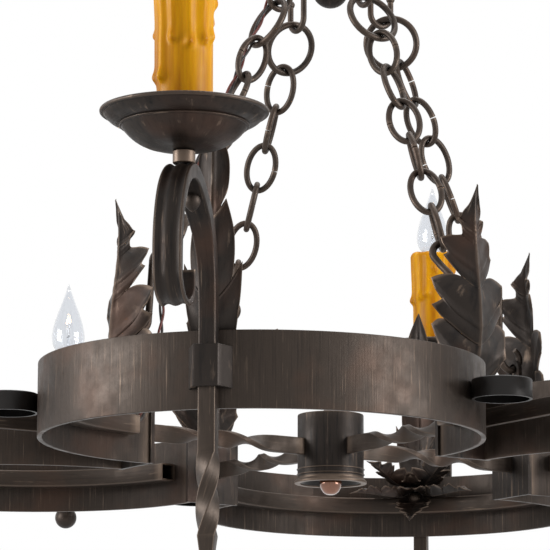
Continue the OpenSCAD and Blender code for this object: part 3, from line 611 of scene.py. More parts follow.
def clip():
    """Hat-shaped clip: the outline of a strap 4 mm thick, bent over the bar and splayed back
    to the band, carried 41 mm upwards with its edges drawn in by half a millimetre."""
    face, foot, wall = BAR / 2 + 4, BAR / 2 + 13, 4.0
    front = BAR_C + BAR / 2 + PLAY

    def band(y):
        return OFFSET + np.sqrt((RING_R + PLAY) ** 2 - y * y)

    half = [[front, face - 3.5], [band(foot - wall), foot - wall], [band(foot), foot],
            [front + wall - 1.6, face + 0.4], [front + wall - 0.3, face - 0.5],
            [front + wall, face - 2]]
    line = np.array(half + [[x, -y] for x, y in half[::-1]])
    line = np.vstack([np.linspace(p, q, 4, endpoint=False)
                      for p, q in zip(line, np.roll(line, -1, 0))])
    t = unit(np.roll(line, -1, 0) - np.roll(line, 1, 0))
    inwards = np.stack([-t[:, 1], t[:, 0]], -1)
    inwards *= np.sign((line[:, 0] * t[:, 1] - line[:, 1] * t[:, 0]).sum())
    rows = [np.column_stack([line + inwards * inset, np.full(len(line), z)])
            for z, inset in ((19, 0.5), (19.5, 0), (59.5, 0), (60, 0.5))]
    return part(np.stack(rows))


# ---------------------------------------------------------------- leaves

# Half outlines of the leaves from the foot up, as [half width, height] in mm. A lobe runs from
# the notch below it, past its small points, to its tip and back to the next notch; the second
# list gives the places of its sharp points, the last of which is the tip.
BROAD = (([(10, 0), (24, 8), (36, 24), (42, 36), (46, 40), (44, 48), (46, 58), (48, 70), (40, 76),
           (29, 76)], {4, 7}),
         ([(29, 76), (36, 82), (46, 92), (41, 95), (38, 99), (43, 106), (45, 112), (46.5, 121),
           (37, 125), (25, 126.5), (14, 123)], {2, 7}),
         ([(14, 123), (20, 130), (26, 139), (31, 148), (27.5, 151), (29, 156), (31, 162),
           (31.5, 168), (24, 170.5), (17, 170.5), (11.5, 171)], {3, 7}),
         ([(11.5, 171), (13, 177), (14.5, 183), (17.5, 189), (13, 190)], {3}),
         ([(13, 190), (11, 197), (6.5, 205), (3.2, 215), (0.4, 226)], {4}))
SLIM = (([(9, 0), (17, 8), (22, 24), (26, 45), (28.5, 65), (29, 86), (25, 77), (21, 67), (17, 60)],
         {5}),
        ([(17, 60), (20, 72), (22, 92), (21, 112), (18, 126), (13, 142), (10.5, 137), (7, 133)],
         {5}),
        ([(7, 133), (10, 141), (14, 151), (15.5, 163), (15, 178), (11, 193), (5.5, 207),
          (0.4, 219)], {7}))
RIB_Z = [0, 15, 40, 70, 100, 130, 160, 190, 205, 216, 226]
BROAD_RIB = [0, 9, 21, 25, 23, 19, 15.5, 14, 14.5, 17, 21]
SLIM_RIB = [0, 9, 19, 22, 20, 16, 14, 13, 14, 17, 22]
FALL_Z = [0, 40, 80, 100, 120, 150, 190, 226]
BROAD_FALL = [0.3, 0.5, 0.72, 0.66, 0.62, 0.85, 0.95, 0.95]
SLIM_FALL = [0.3, 0.5, 0.55, 0.58, 0.6, 0.63, 0.67, 0.7]


def lobe_edge(points, sharp, per):
    """Smooth curve through a lobe's points, broken at its sharp ones, without its last point;
    with it, how far through the lobe each point is, 0.72 standing for its tip."""
    p = np.array(points, float)
    cuts = sorted({0, len(p) - 1} | sharp)
    edge = np.vstack([through(p[i:j + 1], per)[:-1] for i, j in zip(cuts, cuts[1:])])
    k, tip = np.arange(len(edge)), max(sharp) * per
    after = 0.72 + 0.28 * (k - tip) / max(len(edge) - tip, 1)
    return edge, np.where(k <= tip, 0.72 * k / tip, after)


def leaf(form, rib, fall, thick, fold=6.0, curl=5.0, up=0.95, wide=1.0, high=1.0, per=5,
         across=37):
    """Acanthus leaf rising along Z from its foot, its face towards +X. Each row runs from the
    midrib up and out to the outline, and |v| goes from 0 at the midrib to 1 at the edge. The face
    stands at rib(z) - fall(z) y^2 / (y + 5) + fold (sin(pi phase) - 1/2) v + curl v^5
    sin(pi phase) + a midrib and the veins, fine waves that fan out with the lobes. `per` points
    stand for each of the outline's, and `across` lie from edge to edge."""
    pieces = [lobe_edge(*lobe, per) for lobe in form]
    edge = np.vstack([e for e, _ in pieces] + [form[-1][0][-1]])
    phase = np.concatenate([f for _, f in pieces] + [[1.0]])
    top, n = edge[-1, 1], len(edge)
    root = np.maximum.accumulate(np.clip(edge[:, 1] - up * edge[:, 0], 0, None))
    root = np.minimum(root + np.linspace(0, 0.5, n), top - 0.5 + np.linspace(-0.4, 0, n))
    v = np.linspace(-1, 1, across)[None]
    b = np.abs(v)
    w, h, r, f = (k[:, None] for k in (edge[:, 0], edge[:, 1], root, phase))
    y, z = w * v, r + (h - r) * b ** 1.35
    q, ridge = np.abs(y), np.sin(np.pi * np.clip(f, 0, 1)) ** 0.7
    vein = 0.55 * np.cos(7 * np.pi * f) * np.clip(w / 30, 0, 1) * np.sin(np.pi * b) ** 0.5
    fine = np.clip((top - z) / 22, 0.12, 1)
    lift = (ridge - 0.5) * b * (1.4 - 0.6 * b) * np.clip(z / 30, 0, 1) * np.clip(w / 32, 0.2, 1)
    midrib = 1.8 * np.exp(-(q / 2.2) ** 2)
    x = (np.interp(z, RIB_Z, rib) - np.interp(z, FALL_Z, fall) * q * q / (q + 5) + fold * lift
         + curl * b ** 5 * ridge * fine + vein + midrib * fine)
    grid = np.stack([x * min(high, 1.0), y * wide + 0 * z, z * high], -1)
    normal = unit(np.cross(np.gradient(grid, axis=0), np.gradient(grid, axis=1)))
    normal *= np.sign(normal[..., :1].mean())
    half = thick / 2 * np.interp(b, [0, 0.8, 1], [1.25, 1, 0.55]) * np.clip(fine, 0.35, 1)
    half = half[..., None]
    return part(np.concatenate([grid + normal * half, (grid - normal * half)[:, ::-1]], 1))


def tilt(p, about_y, about_z=0.0, at=(0.0, 0.0, 0.0)):
    """Part turned about Y, then about Z, in degrees, and moved."""
    a = np.radians(about_y)
    turn = np.array([[np.cos(a), 0, -np.sin(a)], [0, 1, 0], [np.sin(a), 0, np.cos(a)]])
    return moved(spin([p._replace(grid=p.grid @ turn)], about_z)[0], at)


def make_leaves():
    """Broad leaves at the junctions, slim ones inside the rings at the arms, and the rosettes:
    four side leaves and a hanging tongue round a boss on its pin."""
    thick, wide = mm("leaf_t"), mm("leaf_w") / 48
    big = leaf(BROAD, BROAD_RIB, BROAD_FALL, thick, wide=wide, high=222 / 226)
    big = moved(big, [JUNCTION + PLAY + PLATE_T + 0.4 + thick / 2, 0, 70])
    build("junction_acanthus", lower(spin([big], list(JUNCTIONS.values()))), finish("leaf bronze"),
          stands_for=["junction_leaves"])
    slim = leaf(SLIM, SLIM_RIB, SLIM_FALL, thick, 4, 3, 1.3, high=243.5 / 219)
    slim = moved(slim, [OFFSET + RING_R - BAND_T - PLAY - 15, 0, 48.2])
    build("arm_acanthus", lower(spin([slim], list(RINGS.values()))), finish("leaf bronze"),
          stands_for=["arm_leaves"])
    at = (OFFSET + RING_R - BAND_T - TUBE - PLAY - 9.3, 0, 46)
    coarse = {"per": 3, "across": 21}
    side = leaf(BROAD, BROAD_RIB, BROAD_FALL, 1.8, 7, 6, wide=0.60, high=86 / 226, **coarse)
    tongue = leaf(BROAD, BROAD_RIB, BROAD_FALL, 1.8, 5, 5, wide=0.46, high=58 / 226, **coarse)
    spray = ([tilt(side, 90, 180 + s * 66, np.add(at, [0, 0, 12])) for s in (-1, 1)]
             + [tilt(side, 68, 180 + s * 38, np.add(at, [0, 0, 16])) for s in (-1, 1)]
             + [tilt(tongue, 125, 180, np.add(at, [0, 0, 4]))])
    a, boss_r = np.radians(np.linspace(-90, 90, 22)), 9
    boss = lathe(np.stack([boss_r * np.cos(a), boss_r * np.sin(a)], -1), at, 28)
    # The pin is turned about Z and then laid along X, into the tube behind the boss
    pin = lathe([[0, 0], [8.4, 0], [boss_r, 0.6], [boss_r, 9], [0, 9]], around=28)
    pin = part(pin.grid[..., [2, 1, 0]] + at)
    build("ring_rosettes", lower(spin(spray + [boss, pin], list(RINGS.values()))),
          finish("leaf bronze"), stands_for=["rosettes"])


# ---------------------------------------------------------------- candles

def at_candles(parts):
    """The parts at the raised and the low candles."""
    return lower(spin(parts, list(RINGS.values()), (CANDLE_R, 0, HIGH_DISH))
                 + spin(parts, list(JUNCTIONS.values()), (LOW_R, 0, LOW_DISH)))


def dish():
    """Spun dish: shallow cone, a beaded step, a deep bowl and a flared lip with a rolled
    edge, turned about the candle's axis."""
    under = through([[5.2, 0], [16, 0.9], [28, 2.6], [37, 5.0]], 5)
    bowl = through([[42.5, 7.6], [48, 11.2], [53, 15.6], [57, 20.0], [59.2, 22.8], [60.6, 23.0],
                    [61.4, 24.2], [60.8, 25.3], [64, 26.0], [69, 28.2], [73.4, 31.8], [76.4, 35.4]], 5)
    a = np.radians(np.linspace(-60, 160, 12))
    roll = np.stack([77.6 + 2.2 * np.cos(a), 37.4 + 2.2 * np.sin(a)], -1)
    inner = np.vstack([under, bowl])[::-1] + [-0.9, 1.6]
    inner = inner[inner[:, 0] > 5.2]
    return lathe(np.vstack([under, bowl, roll, inner, [[5.2, 1.6]]]), around=96, closed=True)


def sleeve():
    """Wax sleeve: r(a, z) is the plain radius plus runs, each a ridge exp(-(a - a_k)^2 / w^2)
    above its own foot, swollen at the foot; it is hollow and its top edge is melted."""
    rng = np.random.default_rng(7)
    count = bpy.context.scene.chandelier_sizes.runs
    r0, depth, bore, top, rim_h = mm("sleeve_r"), mm("run_depth"), 19.0, 160.0, 6
    a = np.linspace(0, 2 * np.pi, 120, endpoint=False)[None]
    z = np.concatenate([np.linspace(0, 60, 22), np.linspace(61, top - rim_h, 78)])[:, None]
    r = r0 - 0.5 * np.sin(np.pi * z / top) + 0.25 * np.sin(5 * a + 0.02 * z)
    r = r + 1.4 * np.clip((z - 118) / 40, 0, 1)
    centre = 2 * np.pi * (np.arange(count) + rng.uniform(-0.3, 0.3, count)) / count
    foot = rng.uniform(56, 132, count)
    for k in range(count):
        da = (a - centre[k] + np.pi) % (2 * np.pi) - np.pi + 0.012 * np.sin(z / 9 + k)
        wide = rng.uniform(0.12, 0.19)
        on = 1 / (1 + np.exp(-(z - foot[k]) / 1.6))
        high = depth * rng.uniform(0.6, 1.05)
        r += high * 0.62 * np.exp(-(da / wide) ** 2) * on
        r += high * 0.75 * np.exp(-(da / (wide * 1.15)) ** 2 - ((z - foot[k] - 4) / 6.5) ** 2) * on
    rows = np.stack([r * np.cos(a), r * np.sin(a), z + 0 * a], -1)
    crown = top + 0.9 * np.sin(3 * a + 1) + 0.6 * np.sin(7 * a)
    rim = []
    for share, up in ((0.92, 0.45), (0.75, 0.85), (0.5, 1.0), (0.22, 0.72)):
        rr = bore + (r[-1] - bore) * share
        rim.append(np.stack([rr * np.cos(a[0]), rr * np.sin(a[0]),
                             top - rim_h + (crown[0] - top + rim_h) * up], -1))
    flat = 0 * a + np.array([[top - 4], [0]])
    inner = np.stack([bore * np.cos(a) + 0 * flat, bore * np.sin(a) + 0 * flat, flat], -1)
    return part(np.concatenate([rows, np.stack(rim), inner]), wrap_rows=True)


def flame():
    """Flame bulb: radius over its height t is 17.5 (0.42 (1-t) + sin(pi t^0.62)(1 - 0.42 t)),
    blown as a thin wall with a drawn-out tip, set in a cap."""
    belly, tall, wall = 17.5, 92, mm("glass")
    t = np.linspace(0.03, 1, 44)
    r = belly * (0.42 * (1 - t) + np.sin(np.pi * t ** 0.62) * (1 - 0.42 * t)) + 0.4 * (1 - t)
    outer = np.vstack([[[6.6, -1], [7.0, 1]], np.stack([r, 1 + tall * t], -1)])
    k = outer[:, 0] > 2.2
    inner = outer[k][::-1] - [wall, 0]
    inner[0, 1] -= 1.0
    shell = lathe(np.vstack([outer, [[0.05, inner[0, 1] + 0.6], [0.05, inner[0, 1]]], inner]),
                  around=48, closed=True)
    cap = lathe([[0, -19.6], [5.6, -19.6], [6.9, -18], [6.9, -1.2], [0, -1.2]], around=32)
    stem = lathe([[0, -1], [3.2, -1], [2.4, 6], [1.7, 22], [2.2, 25], [0, 26]], around=20)
    # Filament: a coil of 16 turns, 9 mm long, that rises 6 mm between the posts' ends
    run, coil_r, post_z, span = np.linspace(0, 1, 140)[:, None], 0.55, 41, 9
    turns = 2 * np.pi * 16 * run
    line = np.hstack([span * (run - 0.5), coil_r * np.cos(turns),
                      post_z + 6 * np.sin(np.pi * run) + coil_r * np.sin(turns)])
    bright = sweep(line, round_section(0.45, 8), up=Y)
    posts = [sweep(through([[s * 1.2, 0, 22], [s * 2.4, 0, 30], [s * span / 2, 0, post_z]], 6),
                   round_section(0.3, 8), up=Y) for s in (-1, 1)]
    return shell, cap, stem, bright, posts


def make_candles():
    """Dishes, sleeves, collars and bulbs. The sleeves are one casting, turned differently on
    each candle so that no two show the same runs."""
    wax = moved(sleeve(), [0, 0, 4.3])
    levels = (("high", RINGS, 47, 20, (CANDLE_R, 0, HIGH_DISH)),
              ("low", JUNCTIONS, 61, 100, (LOW_R, 0, LOW_DISH)))
    for level, sides, _, _, foot in levels:
        build(f"{level}_drip_dishes", lower(spin([dish()], list(sides.values()), foot)),
              finish("cast bronze"), stands_for=[f"{level}_dishes"])
    for level, sides, step, first, foot in levels:
        sleeves = []
        for i, a in enumerate(sides.values()):
            sleeves += spin(spin([wax], step * i + first), a, foot)
        build(f"{level}_wax_sleeves", lower(sleeves), finish("cast wax"),
              stands_for=[f"{level}_sleeves"])
    collar = lathe([[0, -12.4], [9.9, -12.4], [10.7, -11.6], [10.7, -0.9], [9.9, -0.1],
                    [5, -0.1], [5, 16], [0, 16]], around=40)
    build("nipple_collars", at_candles([collar]), finish("bar bronze"), stands_for=["candle_nipples"])
    repaint("candle_sockets", "socket")
    shell, cap, stem, bright, posts = flame()
    for name, parts, skin, stands in (
            ("flame_glass", [shell], "bulb glass", ["flame_bulbs"]),
            ("flame_caps", [cap], "brass cap", []),
            ("flame_stems", [stem], "bulb glass", []),
            ("flame_filaments", [bright], "filament", []),
            ("flame_posts", posts, "support wire", [])):
        raised = [moved(p, [0, 0, BULB_FOOT]) for p in parts]
        build(name, at_candles(raised), finish(skin), stands_for=stands)


# ---------------------------------------------------------------- chains

def link(turn, tall=27.5, half_w=16.2, steps=64):
    """Oval link whose bent ends meet with a small open gap in the middle of one side: the
    ellipse (w cos a, 0, h sin a), turned about its own length."""
    slit = np.degrees(mm("link_gap") / 2 / tall)
    a = np.radians(np.linspace(slit, 360 - slit, steps))
    path = np.stack([half_w * np.cos(a), 0 * a, tall * np.sin(a)], -1)
    return spin([sweep(path, round_section(mm("link_wire"), 16), up=Y)], turn)[0]


def loop(mid, wire, turn=0, steps=48):
    """Round ring of wire with middle radius `mid`, standing upright, turned about Z."""
    path = arc((0, 0, 0), (1, 0, 0), (0, 0, 1), mid, 0, 360 * (1 - 1 / steps), steps)
    return spin([sweep(path, round_section(wire, 16), up=Y, closed=True)], turn)[0]


# A chain hangs from its crown hook's bow, of that radius, to the hole in the hanger plate
HOOK_R, HOOK_Z, HOOK_BOW = 70.0, 537.0, 14.0
EYE = (JUNCTION + PLAY + PLATE_T / 2, 150.2)
LINK_PITCH = 47.9
CHAIN_TILT = -np.degrees(np.arctan2(EYE[0] - HOOK_R, HOOK_Z + HOOK_BOW - EYE[1]))
CHAIN_L = float(np.hypot(EYE[0] - HOOK_R, HOOK_Z + HOOK_BOW - EYE[1])) - HOOK_BOW


def on_chain(p, s):
    """Part placed s along the chain's line below its crown hook; the line starts in the
    middle of the hook's bow."""
    return tilt(moved(p, [0, 0, -s - HOOK_BOW]), CHAIN_TILT, 0, (HOOK_R, 0, HOOK_Z + HOOK_BOW))


# Degrees that the big ring, the six links and the S hook's upper bow are turned about their
# chain from its own plane
LINK_TURNS = {"front_right": (90, 30, 112, 52, 147, 57, 147, -123),
              "back_right": (-45, 30, -61, -8, 60, -33, 57, -33),
              "back_left": (90, 35, 140, 57, 147, 57, 147, 57),
              "front_left": (90, 0, 90, 0, 90, 0, 90, 0)}


def s_hook(span, turn):
    """S hook: upper bow, shank and lower bow of 13 mm in its own plane, the upper part then
    turned about the hook's length by `turn`, easing off along the shank."""
    bow = 13.0
    lean = np.degrees(np.arcsin(2 * bow / (span - 2 * bow)))
    top = arc((0, 0, -bow), (1, 0, 0), (0, 0, 1), bow, 215, -lean, 40)
    low = arc((0, 0, -span + bow), (-1, 0, 0), (0, 0, -1), bow, -lean, 215, 40)
    path = np.vstack([top, np.linspace(top[-1], low[0], 14)[1:-1], low])
    t = np.clip((path[:, 2] + span - 2 * bow) / (span - 4 * bow), 0, 1)
    a = np.radians(turn) * t * t * (3 - 2 * t)
    path = np.stack([path[:, 0] * np.cos(a), path[:, 0] * np.sin(a), path[:, 2]], -1)
    taper = mm("hook_wire") * np.interp(np.arange(len(path)), [0, 8, len(path) - 9, len(path) - 1],
                                        [0.72, 1, 1, 0.72])
    return sweep(path, round_section(taper, 16), up=Y)


def make_chains():
    """Big ring, six links and S hook down each chain, then the three main links."""
    # Links sit where the solids' do, whatever wire the sizes give them
    ring_wire, link_wire, hook_wire, tall = 3.75, 3.5, 4.0, 27.5
    mid = 66 / 2 - ring_wire
    first = 2 * mid - 2 * link_wire - 2 * ring_wire + tall - 2 * PLAY
    start = first + 5 * LINK_PITCH + tall - link_wire - hook_wire - PLAY
    hooks = []
    for name, a in JUNCTIONS.items():
        ring_turn, *turns, hook_turn = LINK_TURNS[name]
        parts = [on_chain(loop(mid, mm("ring_wire"), ring_turn),
                          mid - link_wire - ring_wire - PLAY)]
        for k, turn in enumerate(turns):
            parts.append(on_chain(link(turn + 180 * (k // 2 % 2)), first + k * LINK_PITCH))
        build(f"chain_{name}_links", lower(spin(parts, a)), finish("wire bronze"),
              stands_for=[f"chain_{name}"])
        hooks += spin([on_chain(s_hook(CHAIN_L - start, hook_turn), start)], a)
    build("s_hook_wires", lower(hooks), finish("wire bronze"), stands_for=["s_hooks"])
    for node, body, turn in (("main_link_1", "upper_link", 90), ("main_link_2", "middle_link", 0),
                             ("main_link_3", "lower_link", 90)):
        middle = sum(corner.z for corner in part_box(node)) * 1000 / 2
        build(f"{node}_wire", [moved(link(turn), [0, 0, middle])], finish("wire bronze"),
              body=body, stands_for=[node])


def make_crown():
    """Crown hooks, each one wire out of the post, down and round its bow to a bead, then the
    turned ball and post, the two loops and the canopy; the collar, strap and nut stay solids."""
    wire, r = mm("link_wire"), HOOK_BOW
    leg, bend, bead_z = HOOK_R - r, 615.0, HOOK_Z + 34
    path = np.vstack([
        np.linspace([16.1, 0, bend], [leg - r, 0, bend], 8, endpoint=False),
        arc((leg - r, 0, bend - r), (0, 0, 1), (1, 0, 0), r, 0, 90, 14)[:-1],
        np.linspace([leg, 0, bend - r], [leg, 0, HOOK_Z + r], 12, endpoint=False),
        arc((HOOK_R, 0, HOOK_Z + r), (-1, 0, 0), (0, 0, -1), r, 0, 180, 26)[:-1],
        np.linspace([HOOK_R + r, 0, HOOK_Z + r], [HOOK_R + r, 0, bead_z], 5)])
    a = np.radians(np.linspace(-90, 90, 14))
    tip = lathe(np.stack([5 * np.cos(a), 5 * np.sin(a) + bead_z], -1), (HOOK_R + r, 0, 0), 20)
    hook = sweep(path, round_section(wire, 16), up=Y)
    build("crown_hook_wires", lower(spin([hook, tip], list(JUNCTIONS.values()))),
          finish("wire bronze"), stands_for=["crown_hooks"])
    a, ball_r, ball_z = np.radians(np.linspace(-90, 72.2, 36)), 21, 569.9
    ball = np.stack([ball_r * np.cos(a), ball_r * np.sin(a) + ball_z], -1)
    build("crown_ball_turned", lower([lathe(ball, around=56)]), finish("cast bronze"),
          stands_for=["crown_ball"])
    post = [[0, 590], [8.5, 590], [9, 590.5], [9, 596], [15.5, 600.6], [16, 601.4], [16, 628.6],
            [15.5, 629.4], [10, 636], [8.2, 639.5], [8, 641], [9, 643], [11.6, 644.2], [12, 645],
            [12, 646.6], [11.6, 647.3], [9, 650], [0, 650]]
    build("crown_post_turned", lower([lathe(post, around=56)]), finish("cast bronze"),
          stands_for=["crown_post"])
    loop_r = 15.0
    for node, body, hangs in (("crown_loop", "fixture", False),
                              ("canopy_loop", "ceiling_canopy", True)):
        low_z, high_z = (corner.z * 1000 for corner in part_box(node))
        reach = loop_r + 3.5
        z = low_z + reach if hangs else high_z - reach
        foot, head = (z + 14, high_z) if hangs else (low_z, z - 14)
        stem = [[0, foot], [5, foot], [5, head], [0, head]]
        build(f"{node}_wire", [moved(loop(loop_r, wire), [0, 0, z]), lathe(stem, around=28)],
              finish("wire bronze"), body=body, stands_for=[node])
    shell = through([[16, -28], [18.4, -26], [40.3, -20.2], [55.9, -11.8], [62, -5], [64.6, -3.4],
                     [65, -2.4], [65, 0]], 5)
    inner = through([[63.4, 0], [63.4, -2.2], [60.6, -4.4], [54.6, -10.6], [39.6, -18.5],
                     [17, -24.6], [15, -26.4]], 5)
    build("canopy_shell", [lathe(np.vstack([[[5.2, -28]], shell, inner, [[5.2, -26.4]]]),
                                 around=96, closed=True)],
          finish("cast bronze"), body="ceiling_canopy", stands_for=["canopy"])
    repaint("canopy_collar", "plate bronze")
    repaint("mounting_strap", "zinc")
    repaint("strap_nut", "zinc")


# ---------------------------------------------------------------- supply wires

def wire_route():
    """Route of the pair, in the plane of the front left chain and beside it: the same points
    as the solid's, [outwards, sideways, height]."""
    a = np.radians(CHAIN_TILT)
    beside = 7
    s = np.array([0, 55, 110, 165, 220, 280, 340])[:, None] + HOOK_BOW
    run = np.hstack([HOOK_R - s * np.sin(a) + beside * np.cos(a), -beside + 0 * s,
                     HOOK_Z + HOOK_BOW - s * np.cos(a) - beside * np.sin(a)])
    points = np.vstack([[[17.8, -8, 612], [30, -10, 612], [50, -11, 600], [68, -11, 572]], run,
                        [[222, -9.5, 205], [218, -8, 180], [221, -4, 155], [235, 8, 122],
                         [249, 30, 94], [262, 40, 75], [268, 42, 58], [276, 43, 44],
                         [290, 44, 38]]])
    return through(points, 14)


def make_wires():
    """Two wires wound round the route, half a turn apart, one turn every 62 mm: each follows
    p + d (cos t e + sin t f), where e and f stand across the route."""
    route, r, lay_length = wire_route(), mm("wire_r"), 62.0
    h = unit(np.gradient(route, axis=0))
    e = unit(np.cross(h, Y))
    f = np.cross(h, e)
    run = np.concatenate([[0], np.cumsum(np.linalg.norm(np.diff(route, axis=0), axis=1))])
    lay = 2 * np.pi * run / lay_length
    for name, phase in (("dark", 0.0), ("red", np.pi)):
        angle = (lay + phase)[:, None]
        path = route + (r + 0.35) * (np.cos(angle) * e + np.sin(angle) * f)
        piece = sweep(path, round_section(r, 10), up=Y)
        stands = ["supply_wires"] if name == "dark" else []
        obj = build(f"supply_wire_{name}", lower(spin([piece], 225)), finish(f"{name} wire"),
                    stands_for=stands)
        line = lower(spin([part(path[None])], 225))[0].grid[0] / 1000


# ---------------------------------------------------------------- hub and small lights

def make_hub():
    """The downlight's shell with its two beads, knob, lip and lamp, and the side cups with their lenses,
    two on each ring. The reflector, the cup shells and their lenses are darkened as painted shade."""
    out, cup_r, cup_side = 37.2, 30.3, 79.5
    shell = [[out - 2, 3.1], [out, 3.1], [out, 7], [out + 0.9, 7.6], [out + 0.9, 8.4], [out, 9],
             [out, 13], [out + 0.9, 13.6], [out + 0.9, 14.4], [out, 15], [out, 74.8],
             [out - 0.4, 75.8], [out - 1.4, 76.2], [4.2, 76.2], [4.2, 74.2], [out - 2, 74.2]]
    build("hub_shell", lower([lathe(shell, around=96, closed=True)]), finish("bar bronze"),
          stands_for=["hub_housing"])
    knob = [[0, 66.3], [4, 66.3], [4, 76.3], [9, 76.3], [9, 80.2], [7.6, 81.8], [5, 82.8], [0, 83]]
    build("hub_knob", lower([lathe(knob, around=40)]), finish("cast bronze"), stands_for=["hub_cap"])
    ring = [[out - 3, -1.8], [out + 3, -1.8], [out + 3.4, -1.3], [out + 3.4, 0.4],
            [out + 0.8, 3], [out - 3, 3]]
    build("hub_lip", lower([lathe(ring, around=96, closed=True)]), finish("bar bronze"),
          stands_for=["hub_flange"])
    # Painted shade: the reflector inside the housing takes the darker bronze.
    repaint("hub_reflector", "dark bronze")
    repaint("hub_socket", "socket")
    a = np.radians(np.linspace(90, 0, 20))
    bulb = np.vstack([np.stack([2 + 10.5 * np.cos(a), -14.2 * np.sin(a)], -1),
                      [[12, 10], [10, 30], [10, 54], [0, 54]]])
    build("hub_lamp", lower([lathe(bulb, around=48)]), finish("coppered glass"),
          stands_for=["hub_bulb"])
    cup = [[28.3, 46], [28.3, 30], [27.3, 28], [cup_r, 28], [cup_r, 46.6], [29.6, 47.6],
           [28.6, 48], [0.05, 48], [0.05, 46]]
    lens = [[0, 42.9], [27.2, 42.9], [27.6, 43.4], [27.6, 45.9], [0, 45.9]]
    reach = RING_R + cup_r + PLAY
    for name, profile, closed, skin, node, slot in (
            # Painted shade: the cup shells take the darker bronze.
            ("cup_shells", cup, True, "dark bronze", "side_cups", "bronze"),
            # Painted shade: the lens discs are near black to stand for the shade in the cups' hollows.
            ("cup_lens_discs", lens, False, "lens", "side_cup_lenses", "cup_dark")):
        parts = []
        for s in (-1, 1):
            a = np.radians(s * cup_side)
            at = (OFFSET + reach * np.cos(a), reach * np.sin(a), 0)
            parts.append(lathe(profile, at, 56, closed))
        build(name, lower(spin(parts, list(RINGS.values()))), finish(skin), stands_for=[node])


# ---------------------------------------------------------------- stage

def seen_plainly(tree):
    """1 where a surface is seen by the camera, in a reflection or through glass."""
    path = tree.nodes.new("ShaderNodeLightPath")
    seen = add(tree, "ShaderNodeMath", {0: path.outputs["Is Camera Ray"],
                                        1: path.outputs["Is Glossy Ray"]}, operation="MAXIMUM")
    return add(tree, "ShaderNodeMath", {0: seen.outputs[0], 1: path.outputs["Is Transmission Ray"]},
               operation="MAXIMUM").outputs[0]


def blend_shaders(tree, share, first, second):
    """Mix of two shaders: the first where share is 0, the second where it is 1."""
    node = add(tree, "ShaderNodeMixShader", {"Fac": share})
    tree.links.new(first, node.inputs[1])
    tree.links.new(second, node.inputs[2])
    return node.outputs[0]


def make_stage():
    """Flat floor well below the fixture, with nothing upright round it, so that every side is
    open to view; seen from below it is clear. The world is white to the eye and soft as light."""
    reach, floor_z, paper_white, soft_light = 25.0, -2.45, 0.86, 0.55
    a = np.linspace(0, 2 * np.pi, 96, endpoint=False)
    rim = np.stack([reach * np.cos(a), reach * np.sin(a), 0 * a + floor_z], -1)
    mesh = bpy.data.meshes.new("studio_floor")
    mesh.from_pydata(rim.tolist(), [], [list(range(len(rim)))])
    mat, tree, skin = nodes_of("studio paper")
    skin.inputs["Base Color"].default_value = tone("floor")
    skin.inputs["Roughness"].default_value = 0.9
    share = add(tree, "ShaderNodeMath", {0: seen_plainly(tree), 1: paper_white},
                operation="MULTIPLY").outputs[0]
    white = add(tree, "ShaderNodeEmission", {"Color": grey(1.0), "Strength": 1.0}).outputs[0]
    paper = blend_shaders(tree, share, skin.outputs[0], white)
    under = tree.nodes.new("ShaderNodeNewGeometry").outputs["Backfacing"]
    clear = tree.nodes.new("ShaderNodeBsdfTransparent").outputs[0]
    tree.links.new(blend_shaders(tree, under, paper, clear),
                   tree.nodes["Material Output"].inputs["Surface"])
    mesh.materials.append(mat)
    floor = bpy.data.objects.new("studio_floor", mesh)
    bpy.context.scene.collection.objects.link(floor)

    world = bpy.data.worlds.new("studio")
    world.use_nodes = True
    tree = world.node_tree
    tree.nodes.clear()
    soft, white = (add(tree, "ShaderNodeBackground", {"Color": grey(1.0), "Strength": v}).outputs[0]
                   for v in (soft_light, 1.0))
    add(tree, "ShaderNodeOutputWorld", {"Surface": blend_shaders(tree, seen_plainly(tree), soft, white)})
    bpy.context.scene.world = world

    centre = Vector((0.0, 0.0, -0.75))
    for name, at, size, power in (("left softbox", (-3.0, -1.4, -0.2), 1.8, 95),
                                  ("right softbox", (3.0, -0.6, -0.4), 1.8, 90),
                                  ("top softbox", (0.3, 0.6, 1.6), 2.0, 35)):
        lamp = bpy.data.lights.new(name, "AREA")
        lamp.energy, lamp.size = power, size
        box = bpy.data.objects.new(name, lamp)
        box.location = at
        box.rotation_euler = (centre - Vector(at)).to_track_quat("-Z", "Y").to_euler()
        bpy.context.scene.collection.objects.link(box)
    bpy.context.scene.view_settings.view_transform = "Standard"


def make_camera():
    """Photographer's viewpoint: a long lens from below the rings, looking 10.4 degrees up."""
    cam = bpy.data.cameras.new("photo camera")
    cam.lens, cam.sensor_width, cam.clip_end = 222.826, 36.0, 60.0
    obj = bpy.data.objects.new("photo camera", cam)
    bpy.context.scene.collection.objects.link(obj)
    heading, pitch, roll = np.radians([12.19, 10.444, 0.15])
    below = 463.75
    ahead = np.array([-np.sin(heading) * np.cos(pitch), np.cos(heading) * np.cos(pitch),
                      np.sin(pitch)])
    level = unit(np.cross(ahead, Z))
    plumb = np.cross(level, ahead)
    right = np.cos(roll) * level + np.sin(roll) * plumb
    up = np.cos(roll) * plumb - np.sin(roll) * level
    turn = Matrix(np.stack([right, up, -ahead], 1).tolist()).to_4x4()
    turn.translation = (0.7403, -3.7254, -(DROP + below) / 1000)
    obj.matrix_world = turn
    bpy.context.scene.camera = obj


# ---------------------------------------------------------------- add-on

class CHANDELIER_OT_camera(bpy.types.Operator):
    """Sets the camera at the photographer's viewpoint"""
    bl_idname = "chandelier.camera"
    bl_label = "Camera"
    bl_options = {"REGISTER", "UNDO"}

    def execute(self, context):
        make_camera()
        return {"FINISHED"}


